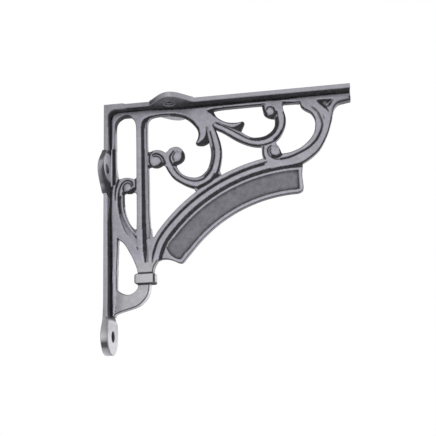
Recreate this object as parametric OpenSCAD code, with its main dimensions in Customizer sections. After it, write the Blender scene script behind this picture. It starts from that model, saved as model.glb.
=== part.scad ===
// Shelf bracket of cast iron, with scrollwork made to look forged.
// +X runs out from the wall, +Z up and +Y through the thickness of the web.
// The origin is the outer corner, where the wall plane x = 0 meets the shelf plane z = 0,
// halfway through the web. Both faces of the web are alike.

/* [Bracket] */
// Reach from the wall plane to the nose of the shelf plate
reach = 226; // [200:1:260]
// Drop from the shelf plane to the tip of the foot
drop = 228; // [200:1:260]

/* [Plates] */
// Width of the two mounting plates
plate_w = 26; // [22:1:32]
// Thickness of the wall plate
plate_t = 3.8; // [3:0.1:5]
// Height of the wall pads over the back of the wall plate
pad_rise = 1.5; // [0.8:0.1:2.2]
// Height of the shelf pads over the back of the shelf plate
shelf_rise = 0.9; // [0.4:0.1:1.6]
// Length of each leg of the corner angle
corner_leg = 22; // [18:1:26]
// Radius inside the corner angle
corner_r = 7; // [4:0.5:9]

/* [Ears] */
// Depth of the wall ears' screw holes below the shelf plane
wall_ear_down = 62.5; // [56:0.5:70]
// Length of a wall ear along the plate
wall_ear_l = 41; // [38:1:48]
// Span over the two wall ears
wall_ear_span = 52.6; // [46:0.2:60]
// Distance of the shelf ears' screw holes from the wall plane
shelf_ear_out = 63; // [56:0.5:80]
// Length of a shelf ear along the plate
shelf_ear_l = 41; // [38:1:48]
// Span over the two shelf ears
shelf_ear_span = 58; // [46:1:62]
// Distance of an ear's middle past its screw hole, away from the corner
ear_shift = 2.1; // [0:0.1:3]
// Distance between the two screw holes of a pair of ears
hole_gap = 25.2; // [24:0.2:30]
// Diameter of the screw holes
hole_d = 6; // [4:0.1:7]
// Diameter of the countersinks
sink_d = 10; // [8:0.1:12]
// Depth of the countersinks
sink_h = 2; // [1:0.1:3]

/* [Foot] */
// Radius of the round foot
foot_r = 16; // [14:0.5:18]
// Thickness of the foot
foot_t = 6.9; // [6.2:0.1:8]
// Height of the foot's pad
foot_h = 32; // [30:0.5:33]
// Height over the foot at which the plate begins to swell
swell_h = 50; // [44:1:60]

/* [Web] */
// Thickness over the raised faces of the web
web_t = 8; // [7:0.1:10]
// Depth of the shoulders and grooves below the raised faces
groove_dip = 1.1; // [0.6:0.1:1.6]
// Depth of the low steps below the raised faces
step_dip = 0.6; // [0.2:0.1:1]
// Height of the scroll eyes over the raised faces
eye_rise = 0.8; // [0.3:0.1:1.5]
// Thickness of the arched panel
panel_t = 6.4; // [6:0.1:7.5]
// Depth of the panel's bare field below its rim
field_dip = 0.8; // [0.4:0.1:1.2]
// Thickness of the stem above and below the collar
stem_t = 9.4; // [8.5:0.1:11]
// Thickness of the collar
collar_t = 12.6; // [11:0.1:15]
// Radius of the collar's long edges
collar_r = 2.4; // [1:0.1:3.5]
// Radius of an eye in the large scrolls
eye_r = 4.5; // [4:0.1:5]
// Radius of the eye in the small scroll beside the wall
small_eye_r = 4; // [3.5:0.1:4.4]

/* [Hidden] */
$fn = 64;

// Spans that each stretch of a curve is cut into
curve_steps = 3;
// Stretch of a cut past the surface that it opens
overrun = 1;
// Points on the curved side of an ear, and the power of the sine that it follows
ear_steps = 16;
ear_power = 1.2;
// Points on each side of the wall plate where it swells to the foot
swell_steps = 12;
// Inner face of both plates, from the outer faces of the pads
plate_face = pad_rise + plate_t;
// Metal kept between a countersink and the root of its ear
sink_clear = 1.2;
// Distance of an ear's root from the middle of the plate
ear_root = hole_gap / 2 - sink_d / 2 - sink_clear;
// Half thicknesses of the web's levels
face_half = web_t / 2;
groove_half = face_half - groove_dip;
step_half = face_half - step_dip;
eye_half = face_half + eye_rise;
panel_half = panel_t / 2;
field_half = panel_half - field_dip;
// Edges of the bead and of the low step, as shares of a scroll's width from its outer edge
bead_from_share = 0.16;
bead_to_share = 0.60;
step_from_share = 0.72;
// Edges of the two beads of the end scroll, in the same way
end_bead_shares = [[0.08, 0.46], [0.60, 0.96]];

// Outline points are shares: [out from the wall / reach, down from the shelf / drop].
// A stroke's rows hold one point on each of its two edges: [out, down, out, down].

// Corner between the rails and the head of the inner bar
corner_web_shares = [
    [[0, 0], [0.190, 0]],
    [[0.190, 0.055], [0.181, 0.065], [0.1765, 0.078], [0.1755, 0.100]],
    [[0.131, 0.100], [0.130, 0.085], [0.125, 0.067], [0.117, 0.053], [0.107, 0.042],
     [0.095, 0.0365], [0.082, 0.0375], [0.069, 0.0435], [0.056, 0.052], [0.047, 0.064],
     [0.0430, 0.080], [0.0425, 0.100]],
    [[0, 0.100]]
];
corner_face_shares = [
    [[0, 0.100], [0.029, 0.100]],
    [[0.029, 0.070], [0.031, 0.045], [0.042, 0.029], [0.065, 0.022], [0.100, 0.0215],
     [0.190, 0.024]],
    [[0.190, 0.049], [0.172, 0.055], [0.161, 0.063], [0.154, 0.076], [0.151, 0.100]],
    [[0.131, 0.100], [0.130, 0.085], [0.125, 0.067], [0.117, 0.053], [0.107, 0.042],
     [0.095, 0.0365], [0.082, 0.0375], [0.069, 0.0435], [0.056, 0.052], [0.047, 0.064],
     [0.0430, 0.080], [0.0425, 0.100]],
    [[0.029, 0.100]]
];

// Rail under the shelf plate
shelf_rail_shares = [
    [0.190, 0, 0.190, 0.055], [0.205, 0, 0.205, 0.0505], [0.230, 0, 0.230, 0.048],
    [0.265, 0, 0.265, 0.0485], [0.320, 0, 0.320, 0.0480], [0.440, 0, 0.440, 0.0475],
    [0.480, 0, 0.480, 0.0435], [0.560, 0, 0.560, 0.0425], [0.645, 0, 0.645, 0.0425],
    [0.735, 0, 0.735, 0.0455], [0.800, 0, 0.800, 0.0455], [0.920, 0, 0.920, 0.0460],
    [1, 0, 1, 0.0480]
];
shelf_band_shares = [
    [0.190, 0.0240, 0.190, 0.0490], [0.250, 0.0275, 0.250, 0.0445], [0.290, 0.0300, 0.290, 0.0470],
    [0.330, 0.0310, 0.330, 0.0500], [0.410, 0.0315, 0.410, 0.0500], [0.440, 0.0315, 0.440, 0.0430],
    [0.480, 0.0310, 0.480, 0.0400], [0.560, 0.0305, 0.560, 0.0395], [0.650, 0.0300, 0.650, 0.0390],
    [0.740, 0.0300, 0.740, 0.0395], [0.800, 0.0275, 0.800, 0.0455], [0.900, 0.0270, 0.900, 0.0455],
    [1, 0.0265, 1, 0.0480]
];

// Rail against the wall plate
wall_rail_shares = [
    [0, 0.100, 0.0425, 0.100], [0, 0.180, 0.0435, 0.180], [0, 0.260, 0.0445, 0.260],
    [0, 0.300, 0.0490, 0.300], [0, 0.360, 0.0515, 0.360], [0, 0.440, 0.0520, 0.440],
    [0, 0.500, 0.0505, 0.500], [0, 0.545, 0.0520, 0.545], [0, 0.600, 0.0515, 0.600],
    [0, 0.660, 0.0485, 0.660], [0, 0.720, 0.0475, 0.720], [0, 0.760, 0.0475, 0.760],
    [0, 0.820, 0.0440, 0.820], [0, 0.855, 0.0390, 0.855]
];
wall_band_shares = [
    [0.0290, 0.100, 0.0425, 0.100], [0.0340, 0.140, 0.0430, 0.140], [0.0390, 0.180, 0.0435, 0.180],
    [0.0405, 0.260, 0.0445, 0.260], [0.0350, 0.300, 0.0490, 0.300], [0.0310, 0.360, 0.0515, 0.360],
    [0.0300, 0.440, 0.0520, 0.440], [0.0300, 0.545, 0.0520, 0.545], [0.0300, 0.600, 0.0500, 0.600],
    [0.0300, 0.720, 0.0460, 0.720], [0.0310, 0.780, 0.0475, 0.780], [0.0320, 0.855, 0.0390, 0.855]
];

// Bar inside the slot window, with a groove down its face
inner_bar_shares = [
    [0.1310, 0.100, 0.1755, 0.100], [0.1313, 0.180, 0.1755, 0.180], [0.1310, 0.270, 0.1790, 0.270],
    [0.1310, 0.360, 0.1798, 0.360], [0.1310, 0.440, 0.1798, 0.440], [0.1305, 0.490, 0.1820, 0.490],
    [0.1290, 0.530, 0.1840, 0.535], [0.1320, 0.580, 0.1830, 0.585], [0.1370, 0.620, 0.1800, 0.625],
    [0.1450, 0.665, 0.1740, 0.665]
];
bar_groove_shares = [
    [0.1510, 0.100, 0.1640, 0.100], [0.1510, 0.300, 0.1650, 0.300], [0.1515, 0.480, 0.1670, 0.480],
    [0.1530, 0.560, 0.1700, 0.560], [0.1550, 0.610, 0.1700, 0.610], [0.1590, 0.640, 0.1670, 0.640],
    [0.1620, 0.658, 0.1640, 0.658]
];
// Width of the low step beside the groove, as a share of the reach
bar_step_share = 0.05;

// Small scroll and leaf between the wall rail and the inner bar
side_scroll_shares = [
    [[0.040, 0.300], [0.052, 0.298], [0.060, 0.3065], [0.070, 0.3060], [0.082, 0.3035],
     [0.097, 0.3040], [0.112, 0.3080], [0.121, 0.3110], [0.127, 0.3080], [0.136, 0.2980]],
    [[0.136, 0.380], [0.1275, 0.3710], [0.118, 0.3610], [0.107, 0.3655], [0.094, 0.3660],
     [0.083, 0.3640], [0.0765, 0.3690], [0.0757, 0.3800], [0.0765, 0.4000], [0.0780, 0.4200]],
    [[0.040, 0.420]]
];
side_leaf_shares = [
    [0.040, 0.420, 0.0780, 0.420], [0.040, 0.450, 0.0835, 0.450], [0.040, 0.490, 0.0950, 0.481],
    [0.043, 0.525, 0.1070, 0.5015], [0.055, 0.552, 0.1205, 0.5150], [0.069, 0.5625, 0.1340, 0.520],
    [0.0850, 0.582, 0.1400, 0.540], [0.1000, 0.608, 0.1450, 0.580], [0.1130, 0.632, 0.1480, 0.620],
    [0.1230, 0.656, 0.1500, 0.656], [0.1370, 0.675, 0.1500, 0.675]
];
side_rib_shares = [
    [0.0690, 0.375, 0.0745, 0.375], [0.0680, 0.420, 0.0750, 0.418], [0.0730, 0.455, 0.0815, 0.448],
    [0.0840, 0.485, 0.0925, 0.476], [0.0990, 0.512, 0.1070, 0.500], [0.1150, 0.532, 0.1240, 0.518],
    [0.1270, 0.546, 0.1340, 0.530]
];
side_band_shares = [
    [0.0320, 0.420, 0.0540, 0.420], [0.0320, 0.460, 0.0580, 0.452], [0.0400, 0.500, 0.0660, 0.482],
    [0.0500, 0.550, 0.0780, 0.512], [0.0740, 0.570, 0.0940, 0.540], [0.0960, 0.604, 0.1200, 0.572],
    [0.1150, 0.640, 0.1400, 0.620], [0.1370, 0.675, 0.1500, 0.675]
];
side_eye_shares = [0.0935, 0.336];

// Stem, collar and elbow that carry the scrollwork down to the wall
stem_shares = [
    [0.1230, 0.656, 0.2120, 0.646], [0.1280, 0.669, 0.1985, 0.667], [0.1320, 0.683, 0.1945, 0.682],
    [0.1340, 0.695, 0.1945, 0.695]
];
// Open space to the right of the stem, under the foot of the arch
stem_side_shares = [
    [[0.190, 0.660]], [[0.212, 0.646]], [[0.232, 0.6415]], [[0.232, 0.700]], [[0.190, 0.700]]
];
collar_left_share = 0.1200;
collar_right_share = 0.2030;
collar_top_share = 0.6950;
collar_foot_share = 0.7350;
elbow_shares = [
    [0.1345, 0.735, 0.1800, 0.735], [0.1340, 0.748, 0.1785, 0.755], [0.1280, 0.758, 0.1745, 0.772],
    [0.1180, 0.7665, 0.1660, 0.788], [0.1060, 0.772, 0.1540, 0.802], [0.0950, 0.774, 0.1380, 0.815],
    [0.0820, 0.7715, 0.1180, 0.8235], [0.0680, 0.765, 0.0900, 0.8310], [0.0560, 0.7575, 0.0620, 0.8385],
    [0.0490, 0.750, 0.0470, 0.8445], [0.0400, 0.744, 0.0360, 0.8530]
];

// Arch: its centre, the radii of its edges and the angles where it ends
arch_centre_shares = [0.776, 0.966];
arch_out_share = 0.7101;
arch_line_shares = [0.6885, 0.6945];
arch_band_share = 0.6650;
arch_in_share = 0.6590;
panel_rim_share = 0.6510;
field_out_share = 0.6420;
field_in_share = 0.5640;
panel_in_share = 0.5507;
// Metal between the inner bar and the foot of the arch, under the big window
arch_foot_shares = [
    [[0.1750, 0.5150], [0.1860, 0.5150]],
    [[0.1860, 0.5150], [0.1876, 0.5300], [0.1894, 0.5426], [0.1931, 0.5504], [0.1968, 0.5531],
     [0.2019, 0.5510], [0.2070, 0.5438]],
    [[0.2150, 0.5500], [0.1950, 0.6000], [0.1900, 0.6700]],
    [[0.1750, 0.6700]]
];
arch_right_angle = 96;
arch_left_angle = 153.5;
arch_bend_angle = 141.5;
arch_bend_share = 0.055;
arch_steps = 26;
panel_top_angle = 88.5;
panel_right_angle = 92;
panel_foot_angle = 136.5;
panel_left_angle = 148;
field_right_angle = 89.8;
field_left_angle = 141;
sector_right_angle = 60;
sector_left_angle = 160;
panel_left_shares = [
    [0.200, 0.640], [0.217, 0.6450], [0.232, 0.6415], [0.252, 0.6428], [0.274, 0.6495],
    [0.293, 0.6590], [0.305, 0.6610], [0.315, 0.6560], [0.328, 0.6405]
];
panel_right_shares = [
    [0.770, 0.4155], [0.783, 0.4115], [0.791, 0.4050], [0.7938, 0.392], [0.7930, 0.372],
    [0.7912, 0.345], [0.7930, 0.325], [0.7960, 0.306], [0.7970, 0.290]
];
field_left_shares = [
    [0.3216, 0.6247], [0.3088, 0.6420], [0.3010, 0.6475], [0.2900, 0.6450], [0.2768, 0.6381],
    [0.2632, 0.6259], [0.2526, 0.6105], [0.2478, 0.5979], [0.2488, 0.5870], [0.2545, 0.5760],
    [0.2640, 0.5675]
];

// Crown where the leaves and scrolls leave the shelf rail
crown_shares = [
    [[0.270, 0.0420], [0.270, 0.0490]],
    [[0.270, 0.0490], [0.300, 0.0545], [0.327, 0.0640], [0.347, 0.0775], [0.362, 0.0920],
     [0.372, 0.1050]],
    [[0.398, 0.1200], [0.420, 0.1160], [0.452, 0.1080]],
    [[0.459, 0.0800], [0.4555, 0.0640], [0.4510, 0.0470]],
    [[0.450, 0.0420]]
];
crown_face_shares = [
    [[0.270, 0.0400], [0.270, 0.0440]],
    [[0.270, 0.0440], [0.300, 0.0490], [0.330, 0.0590], [0.352, 0.0720], [0.370, 0.0880],
     [0.384, 0.1080]],
    [[0.398, 0.1250], [0.420, 0.1200], [0.446, 0.1120]],
    [[0.464, 0.0860], [0.452, 0.0720], [0.440, 0.0600], [0.428, 0.0520]],
    [[0.428, 0.0400]]
];

// Leaf spurs on either side of the crown
left_leaf_shares = [
    [0.3620, 0.090, 0.4200, 0.095], [0.3720, 0.104, 0.4210, 0.115], [0.3805, 0.118, 0.4230, 0.135],
    [0.3865, 0.135, 0.4260, 0.150], [0.3868, 0.150, 0.4290, 0.164], [0.3835, 0.163, 0.4285, 0.176],
    [0.3790, 0.172, 0.4180, 0.1845], [0.3755, 0.1805, 0.4020, 0.1895], [0.3765, 0.1845, 0.3850, 0.1880]
];
left_leaf_face_shares = [
    [0.3790, 0.100, 0.4200, 0.095], [0.3900, 0.118, 0.4190, 0.125], [0.3940, 0.138, 0.4170, 0.145],
    [0.3930, 0.155, 0.4120, 0.160], [0.3870, 0.170, 0.4010, 0.172], [0.3790, 0.180, 0.3860, 0.182]
];
right_leaf_shares = [
    [0.4550, 0.060, 0.4450, 0.1000], [0.4640, 0.077, 0.4700, 0.1020], [0.4800, 0.0905, 0.4850, 0.1100],
    [0.4980, 0.1010, 0.5030, 0.1210], [0.5180, 0.1065, 0.5230, 0.1310], [0.5400, 0.1085, 0.5400, 0.1400],
    [0.5560, 0.1075, 0.5560, 0.1470], [0.5680, 0.1060, 0.5620, 0.1380], [0.5745, 0.1110, 0.5690, 0.1240]
];
right_leaf_face_shares = [
    [0.4520, 0.0700, 0.4450, 0.1000], [0.4660, 0.0840, 0.4700, 0.1020], [0.4830, 0.0960, 0.4850, 0.1100],
    [0.5000, 0.1050, 0.5050, 0.1200], [0.5200, 0.1110, 0.5250, 0.1270], [0.5400, 0.1130, 0.5430, 0.1240],
    [0.5600, 0.1100, 0.5620, 0.1140]
];

// Left scroll, outer edge first, and the two eyes that it ends in
left_scroll_shares = [
    [0.4460, 0.1000, 0.4150, 0.1050], [0.4580, 0.1280, 0.4225, 0.1350], [0.4660, 0.1520, 0.4275, 0.1640],
    [0.4740, 0.1800, 0.4310, 0.1900], [0.4790, 0.2100, 0.4355, 0.2150], [0.4790, 0.2400, 0.4355, 0.2400],
    [0.4740, 0.2720, 0.4300, 0.2680], [0.4650, 0.3040, 0.4210, 0.2920], [0.4490, 0.3330, 0.4075, 0.3080],
    [0.4250, 0.3580, 0.3920, 0.3185], [0.3980, 0.3685, 0.3745, 0.3235], [0.3670, 0.3675, 0.3550, 0.3220],
    [0.3330, 0.3540, 0.3340, 0.3150], [0.3050, 0.3370, 0.3170, 0.3040], [0.2830, 0.3210, 0.3045, 0.2890],
    [0.2660, 0.3000, 0.2960, 0.2740], [0.2530, 0.2760, 0.2880, 0.2560], [0.2430, 0.2540, 0.2700, 0.2300]
];
left_scroll_foot_shares = [
    [[0.3470, 0.3560], [0.3660, 0.3680], [0.3670, 0.3760]],
    [[0.3800, 0.3860]],
    [[0.4800, 0.3300]],
    [[0.4670, 0.3000], [0.4500, 0.3250]]
];
left_inner_eye_shares = [
    [[0.170, 0.206], [0.181, 0.2015], [0.191, 0.2020], [0.203, 0.1980], [0.217, 0.1970],
     [0.231, 0.1995], [0.243, 0.2060], [0.252, 0.2115]],
    [[0.252, 0.2115], [0.256, 0.2300], [0.257, 0.2500], [0.253, 0.2760]],
    [[0.253, 0.2760], [0.246, 0.2640], [0.239, 0.2575]],
    [[0.239, 0.2575], [0.228, 0.2635], [0.214, 0.2675], [0.200, 0.2650], [0.188, 0.2615],
     [0.180, 0.2650], [0.170, 0.2720]]
];
left_inner_eye_at_shares = [0.204, 0.236];
left_free_eye_shares = [
    [[0.252, 0.2115], [0.260, 0.2060], [0.268, 0.1970], [0.279, 0.1920], [0.291, 0.1898],
     [0.304, 0.1920], [0.315, 0.1990], [0.3235, 0.2090], [0.3272, 0.2220], [0.3265, 0.2360],
     [0.320, 0.2475], [0.308, 0.2560], [0.297, 0.2600], [0.293, 0.2640], [0.296, 0.2740]],
    [[0.276, 0.2740], [0.253, 0.2500]]
];
left_free_eye_at_shares = [0.298, 0.226];

// Right scroll, outer edge first, and its eye under the shelf rail
right_scroll_shares = [
    [0.4440, 0.1150, 0.4600, 0.0900], [0.4610, 0.1290, 0.4760, 0.1000], [0.4790, 0.1390, 0.4930, 0.1090],
    [0.5000, 0.1530, 0.5150, 0.1210], [0.5220, 0.1695, 0.5380, 0.1340], [0.5460, 0.1855, 0.5600, 0.1490],
    [0.5720, 0.1990, 0.5820, 0.1660], [0.6000, 0.2100, 0.6050, 0.1770], [0.6300, 0.2155, 0.6290, 0.1790],
    [0.6600, 0.2135, 0.6530, 0.1755], [0.6880, 0.2040, 0.6730, 0.1650], [0.7110, 0.1850, 0.6875, 0.1515],
    [0.7280, 0.1590, 0.6955, 0.1350], [0.7385, 0.1310, 0.6970, 0.1180], [0.7410, 0.1050, 0.6955, 0.1000],
    [0.7370, 0.0850, 0.6990, 0.0830], [0.7320, 0.0660, 0.7040, 0.0620], [0.7310, 0.0400, 0.7040, 0.0400]
];
right_eye_shares = [
    [[0.6480, 0.0380], [0.6490, 0.0500], [0.6510, 0.0680], [0.6555, 0.0820], [0.6640, 0.0910],
     [0.6750, 0.0975], [0.6860, 0.1010], [0.6980, 0.1020]],
    [[0.7040, 0.0840], [0.7090, 0.0620], [0.7090, 0.0380]]
];
right_eye_at_shares = [0.681, 0.070];

// End scroll from the nose of the shelf rail, outer edge first, its eye and its spandrel
end_scroll_shares = [
    [0.8690, 0.0360, 0.7990, 0.0420], [0.8800, 0.0560, 0.8040, 0.0630], [0.8960, 0.0740, 0.8190, 0.0780],
    [0.9130, 0.0930, 0.8400, 0.0920], [0.9230, 0.1190, 0.8530, 0.1150], [0.9160, 0.1450, 0.8555, 0.1420],
    [0.9050, 0.1780, 0.8500, 0.1730], [0.8880, 0.2130, 0.8370, 0.1960], [0.8640, 0.2500, 0.8170, 0.2170],
    [0.8320, 0.2770, 0.7910, 0.2355], [0.7980, 0.2970, 0.7620, 0.2470], [0.7650, 0.3060, 0.7400, 0.2520],
    [0.7300, 0.3095, 0.7190, 0.2535], [0.7000, 0.3115, 0.7020, 0.2620], [0.6700, 0.3160, 0.6850, 0.2680]
];
end_eye_shares = [
    [[0.6380, 0.2050], [0.6380, 0.2200], [0.6395, 0.2350], [0.6395, 0.2500], [0.6430, 0.2680],
     [0.6520, 0.2880]],
    [[0.7000, 0.2880], [0.7190, 0.2700], [0.7190, 0.2535]],
    [[0.7190, 0.2535], [0.7150, 0.2450], [0.7115, 0.2340], [0.7060, 0.2230], [0.6990, 0.2130],
     [0.6960, 0.1980]]
];
end_eye_at_shares = [0.688, 0.241];
end_spandrel_shares = [
    [[0.8600, 0.0400], [1, 0.0400]],
    [[1, 0.0560], [0.9750, 0.0600], [0.9550, 0.0635], [0.9430, 0.0715], [0.9350, 0.0815],
     [0.9300, 0.0935], [0.9230, 0.1190]],
    [[0.9000, 0.1050]]
];
end_limb_shares = [
    [1, 0.0400, 1, 0.0560], [0.9650, 0.0400, 0.9750, 0.0600], [0.9380, 0.0420, 0.9550, 0.0635],
    [0.9290, 0.0540, 0.9430, 0.0715], [0.9180, 0.0720, 0.9350, 0.0815], [0.9090, 0.0880, 0.9300, 0.0935],
    [0.9060, 0.1100, 0.9230, 0.1190]
];

function at(share) = [share[0] * reach, -share[1] * drop];
function mix(a, b, f) = a * (1 - f) + b * f;
function reversed(points) = [for (i = [len(points) - 1:-1:0]) points[i]];

// Point at t, from 0 to 1, on the smooth curve from b to c, with neighbours a and d
function bend(a, b, c, d, t) =
    b + (c - a) * t / 2
    + (a * 2 - b * 5 + c * 4 - d) * t * t / 2
    + (b * 3 - a - c * 3 + d) * t * t * t / 2;

// Smooth open curve through the points
function curve(points) = [
    for (i = [0:1:len(points) - 2])
        for (k = [0:curve_steps - 1])
            bend(points[max(i - 1, 0)], points[i], points[i + 1],
                 points[min(i + 2, len(points) - 1)], k / curve_steps),
    points[len(points) - 1]
];

// Line that runs along a stroke at share f of its width
function lengthwise(rows, f) = [
    for (row = rows) mix(at([row[0], row[1]]), at([row[2], row[3]]), f)
];

// Points on an arc of the arch, which tightens where it runs down into the stem
function arch_pull(a) =
    1 - arch_bend_share * pow(max((a - arch_bend_angle) / (arch_left_angle - arch_bend_angle), 0), 2);
function arch_point(r_share, a) = at([
    arch_centre_shares[0] + r_share * arch_pull(a) * cos(a),
    arch_centre_shares[1] - r_share * arch_pull(a) * sin(a)
]);
function arch_line(r_share, a_from, a_to) = [
    for (i = [0:arch_steps]) arch_point(r_share, mix(a_from, a_to, i / arch_steps))
];

// Strip of a stroke between two shares of its width
module stroke(rows, from = 0, to = 1)
    polygon(concat(curve(lengthwise(rows, from)), reversed(curve(lengthwise(rows, to)))));

// Area inside runs of smooth curve that meet at sharp corners
module patch(runs)
    polygon([for (run = runs) each curve([for (share = run) at(share)])]);

// Area between two arcs of the arch
module arch_strip(out_share, in_share, a_from, a_to)
    polygon(concat(arch_line(out_share, a_from, a_to),
                   reversed(arch_line(in_share, a_from, a_to))));

// Stands an area drawn in X and Z up as a slab about the middle of the web
module slab(half)
    rotate([90, 0, 0]) linear_extrude(2 * half, center = true) children();

// Round raised eye of a scroll, with a worn edge
module eye(place_shares, r)
    translate([at(place_shares)[0], 0, at(place_shares)[1]])
        rotate([90, 0, 0]) rotate_extrude() polygon([
            [0, -eye_half], [r - eye_rise, -eye_half], [r, -face_half],
            [r, face_half], [r - eye_rise, eye_half], [0, eye_half]
        ]);

// Section of the corner angle: flush with the wall plate, and ramped down to the shelf plate
module corner_section() {
    fillet_at = plate_face + corner_r;
    difference() {
        polygon([
            [pad_rise, 0], [corner_leg - 2 * pad_rise, 0], [corner_leg, -shelf_rise],
            [corner_leg, -plate_face], [fillet_at, -plate_face], [fillet_at, -fillet_at],
            [plate_face, -fillet_at], [plate_face, -corner_leg], [pad_rise, -corner_leg]
        ]);
        translate([fillet_at, -fillet_at]) circle(corner_r);
    }
}

// Space that the web may fill, inside the plates and the corner angle
module web_space()
    difference() {
        translate([plate_face, -drop]) square([reach - plate_face, drop - plate_face]);
        corner_section();
    }

// Half width of the wall plate at a height over the tip of the foot
function plate_half(h) =
    let (s = min(max((swell_h - h) / (swell_h - foot_r), 0), 1))
    mix(plate_w / 2, foot_r, s * s * (3 - 2 * s));

// Outline of an ear pair as a bulge on both sides, its length along Y
module ear_pair_area(length, span) {
    bulge = (span - plate_w) / 2;
    side = [for (i = [0:ear_steps]) [
        plate_w / 2 + bulge * pow(max(sin(180 * i / ear_steps), 0), ear_power),
        ear_shift + length * (i / ear_steps - 1 / 2)
    ]];
    polygon(concat(side, reversed([for (p = side) [-p[0], p[1]]])));
}

// One ear, cut clear of the web and of the strip of plate beside it
module ear_area(length, span)
    intersection() {
        ear_pair_area(length, span);
        translate([ear_root, ear_shift - length / 2]) square([span, length]);
    }

// Screw hole with its countersink, from the pad's face up
module screw_hole(thickness) {
    translate([0, 0, -overrun]) cylinder(h = thickness + 2 * overrun, d = hole_d);
    translate([0, 0, thickness - sink_h]) cylinder(h = sink_h, d1 = hole_d, d2 = sink_d);
    translate([0, 0, thickness]) cylinder(h = overrun, d = sink_d);
}

// One ear lying flat, its pad's face at zero
module ear(length, span)
    difference() {
        linear_extrude(plate_face) ear_area(length, span);
        translate([hole_gap / 2, 0, 0]) screw_hole(plate_face);
    }

// Places for a flat ear on the wall and on the shelf, its +Y away from the corner
module on_wall(down)
    translate([0, 0, -down]) rotate([0, 90, 0]) rotate([0, 0, 90]) mirror([0, 1, 0]) children();
module on_shelf(out) translate([out, 0, 0]) rotate([0, 180, 0]) rotate([0, 0, 90]) children();

module corner_angle()
    color("dimgray") slab(plate_w / 2) corner_section();

module shelf_plate()
    color("dimgray") difference() {
        translate([corner_leg, -plate_w / 2, -plate_face])
            cube([reach - corner_leg, plate_w, plate_face - shelf_rise]);
        for (side = [0, 1])
            mirror([0, side, 0]) on_shelf(shelf_ear_out) translate([0, 0, -overrun])
                linear_extrude(plate_face + 2 * overrun) ear_area(shelf_ear_l, shelf_ear_span);
    }

module shelf_ear_front()
    color("gray") mirror([0, 1, 0])
        on_shelf(shelf_ear_out) ear(shelf_ear_l, shelf_ear_span);

module shelf_ear_back()
    color("gray") on_shelf(shelf_ear_out) ear(shelf_ear_l, shelf_ear_span);

// Outline of the wall plate and the foot in Y and Z, between two heights over the foot
module wall_outline(low, high) {
    side = [
        for (i = [0:swell_steps])
            let (h = mix(low, high, i / swell_steps))
            [plate_half(h), h - drop]
    ];
    polygon(concat(side, reversed([for (p = side) [-p[0], p[1]]])));
}

module wall_plate()
    color("dimgray") difference() {
        translate([pad_rise, 0, 0]) rotate([90, 0, 90])
            linear_extrude(plate_t) union() {
                wall_outline(foot_h, swell_h);
                wall_outline(swell_h, drop - corner_leg);
            }
        for (side = [0, 1])
            mirror([0, side, 0]) on_wall(wall_ear_down) translate([0, 0, -overrun])
                linear_extrude(plate_face + 2 * overrun) ear_area(wall_ear_l, wall_ear_span);
    }

module wall_ear_front()
    color("gray") mirror([0, 1, 0])
        on_wall(wall_ear_down) ear(wall_ear_l, wall_ear_span);

module wall_ear_back()
    color("gray") on_wall(wall_ear_down) ear(wall_ear_l, wall_ear_span);

module foot_pad()
    color("silver") difference() {
        rotate([90, 0, 90]) linear_extrude(foot_t) union() {
            wall_outline(foot_r, foot_h);
            translate([0, foot_r - drop]) circle(foot_r);
        }
        on_wall(drop - foot_r) screw_hole(foot_t);
    }

module inner_bar_space() stroke(inner_bar_shares);
module stem_space() stroke(stem_shares);
module shelf_rail_space() stroke(shelf_rail_shares);
module wall_rail_space() stroke(wall_rail_shares);
module arch_space() arch_strip(arch_out_share, arch_in_share, arch_right_angle, arch_left_angle);

module corner_web_area() intersection() { patch(corner_web_shares); web_space(); }
module corner_web()
    color("gray") union() {
        slab(groove_half) corner_web_area();
        slab(face_half) intersection() { patch(corner_face_shares); corner_web_area(); }
    }

module shelf_rail_area() intersection() { shelf_rail_space(); web_space(); }
module shelf_rail()
    color("gray") union() {
        slab(groove_half) shelf_rail_area();
        slab(face_half) intersection() { stroke(shelf_band_shares); shelf_rail_area(); }
    }

module wall_rail_area() intersection() { wall_rail_space(); web_space(); }
module wall_rail()
    color("gray") union() {
        slab(groove_half) wall_rail_area();
        slab(face_half) intersection() { stroke(wall_band_shares); wall_rail_area(); }
    }

// Low step along the right side of the inner bar
module bar_step_space()
    stroke([
        for (row = bar_groove_shares)
            [(row[0] + row[2]) / 2, row[1], row[2] + bar_step_share, row[3]]
    ]);
module inner_bar_area() difference() { inner_bar_space(); stem_space(); }
module inner_bar()
    color("gray") union() {
        slab(groove_half) inner_bar_area();
        slab(face_half) difference() {
            inner_bar_area();
            stroke(bar_groove_shares);
            bar_step_space();
        }
        slab(step_half) difference() {
            intersection() { inner_bar_area(); bar_step_space(); }
            stroke(bar_groove_shares);
        }
    }

module side_scroll_area()
    difference() {
        patch(side_scroll_shares);
        wall_rail_space();
        inner_bar_space();
    }
module side_scroll()
    color("gray") union() {
        slab(groove_half) side_scroll_area();
        slab(face_half) intersection() { stroke(side_rib_shares); side_scroll_area(); }
        eye(side_eye_shares, small_eye_r);
    }

module side_leaf_area()
    difference() {
        stroke(side_leaf_shares);
        wall_rail_space();
        inner_bar_space();
        stem_space();
    }
module side_leaf()
    color("gray") union() {
        slab(groove_half) side_leaf_area();
        slab(face_half) intersection() {
            union() {
                stroke(side_rib_shares);
                stroke(side_band_shares);
            }
            side_leaf_area();
        }
    }

module stem() color("silver") slab(stem_t / 2) stem_space();

module collar() {
    left = collar_left_share * reach;
    width = collar_right_share * reach - left;
    height = (collar_foot_share - collar_top_share) * drop;
    color("silver") translate([left, -collar_t / 2, -collar_foot_share * drop])
        linear_extrude(height) union() {
            translate([collar_r, 0]) square([width - 2 * collar_r, collar_t]);
            translate([0, collar_r]) square([width, collar_t - 2 * collar_r]);
            for (x = [collar_r, width - collar_r])
                for (y = [collar_r, collar_t - collar_r])
                    translate([x, y]) circle(collar_r);
        }
}

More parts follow.
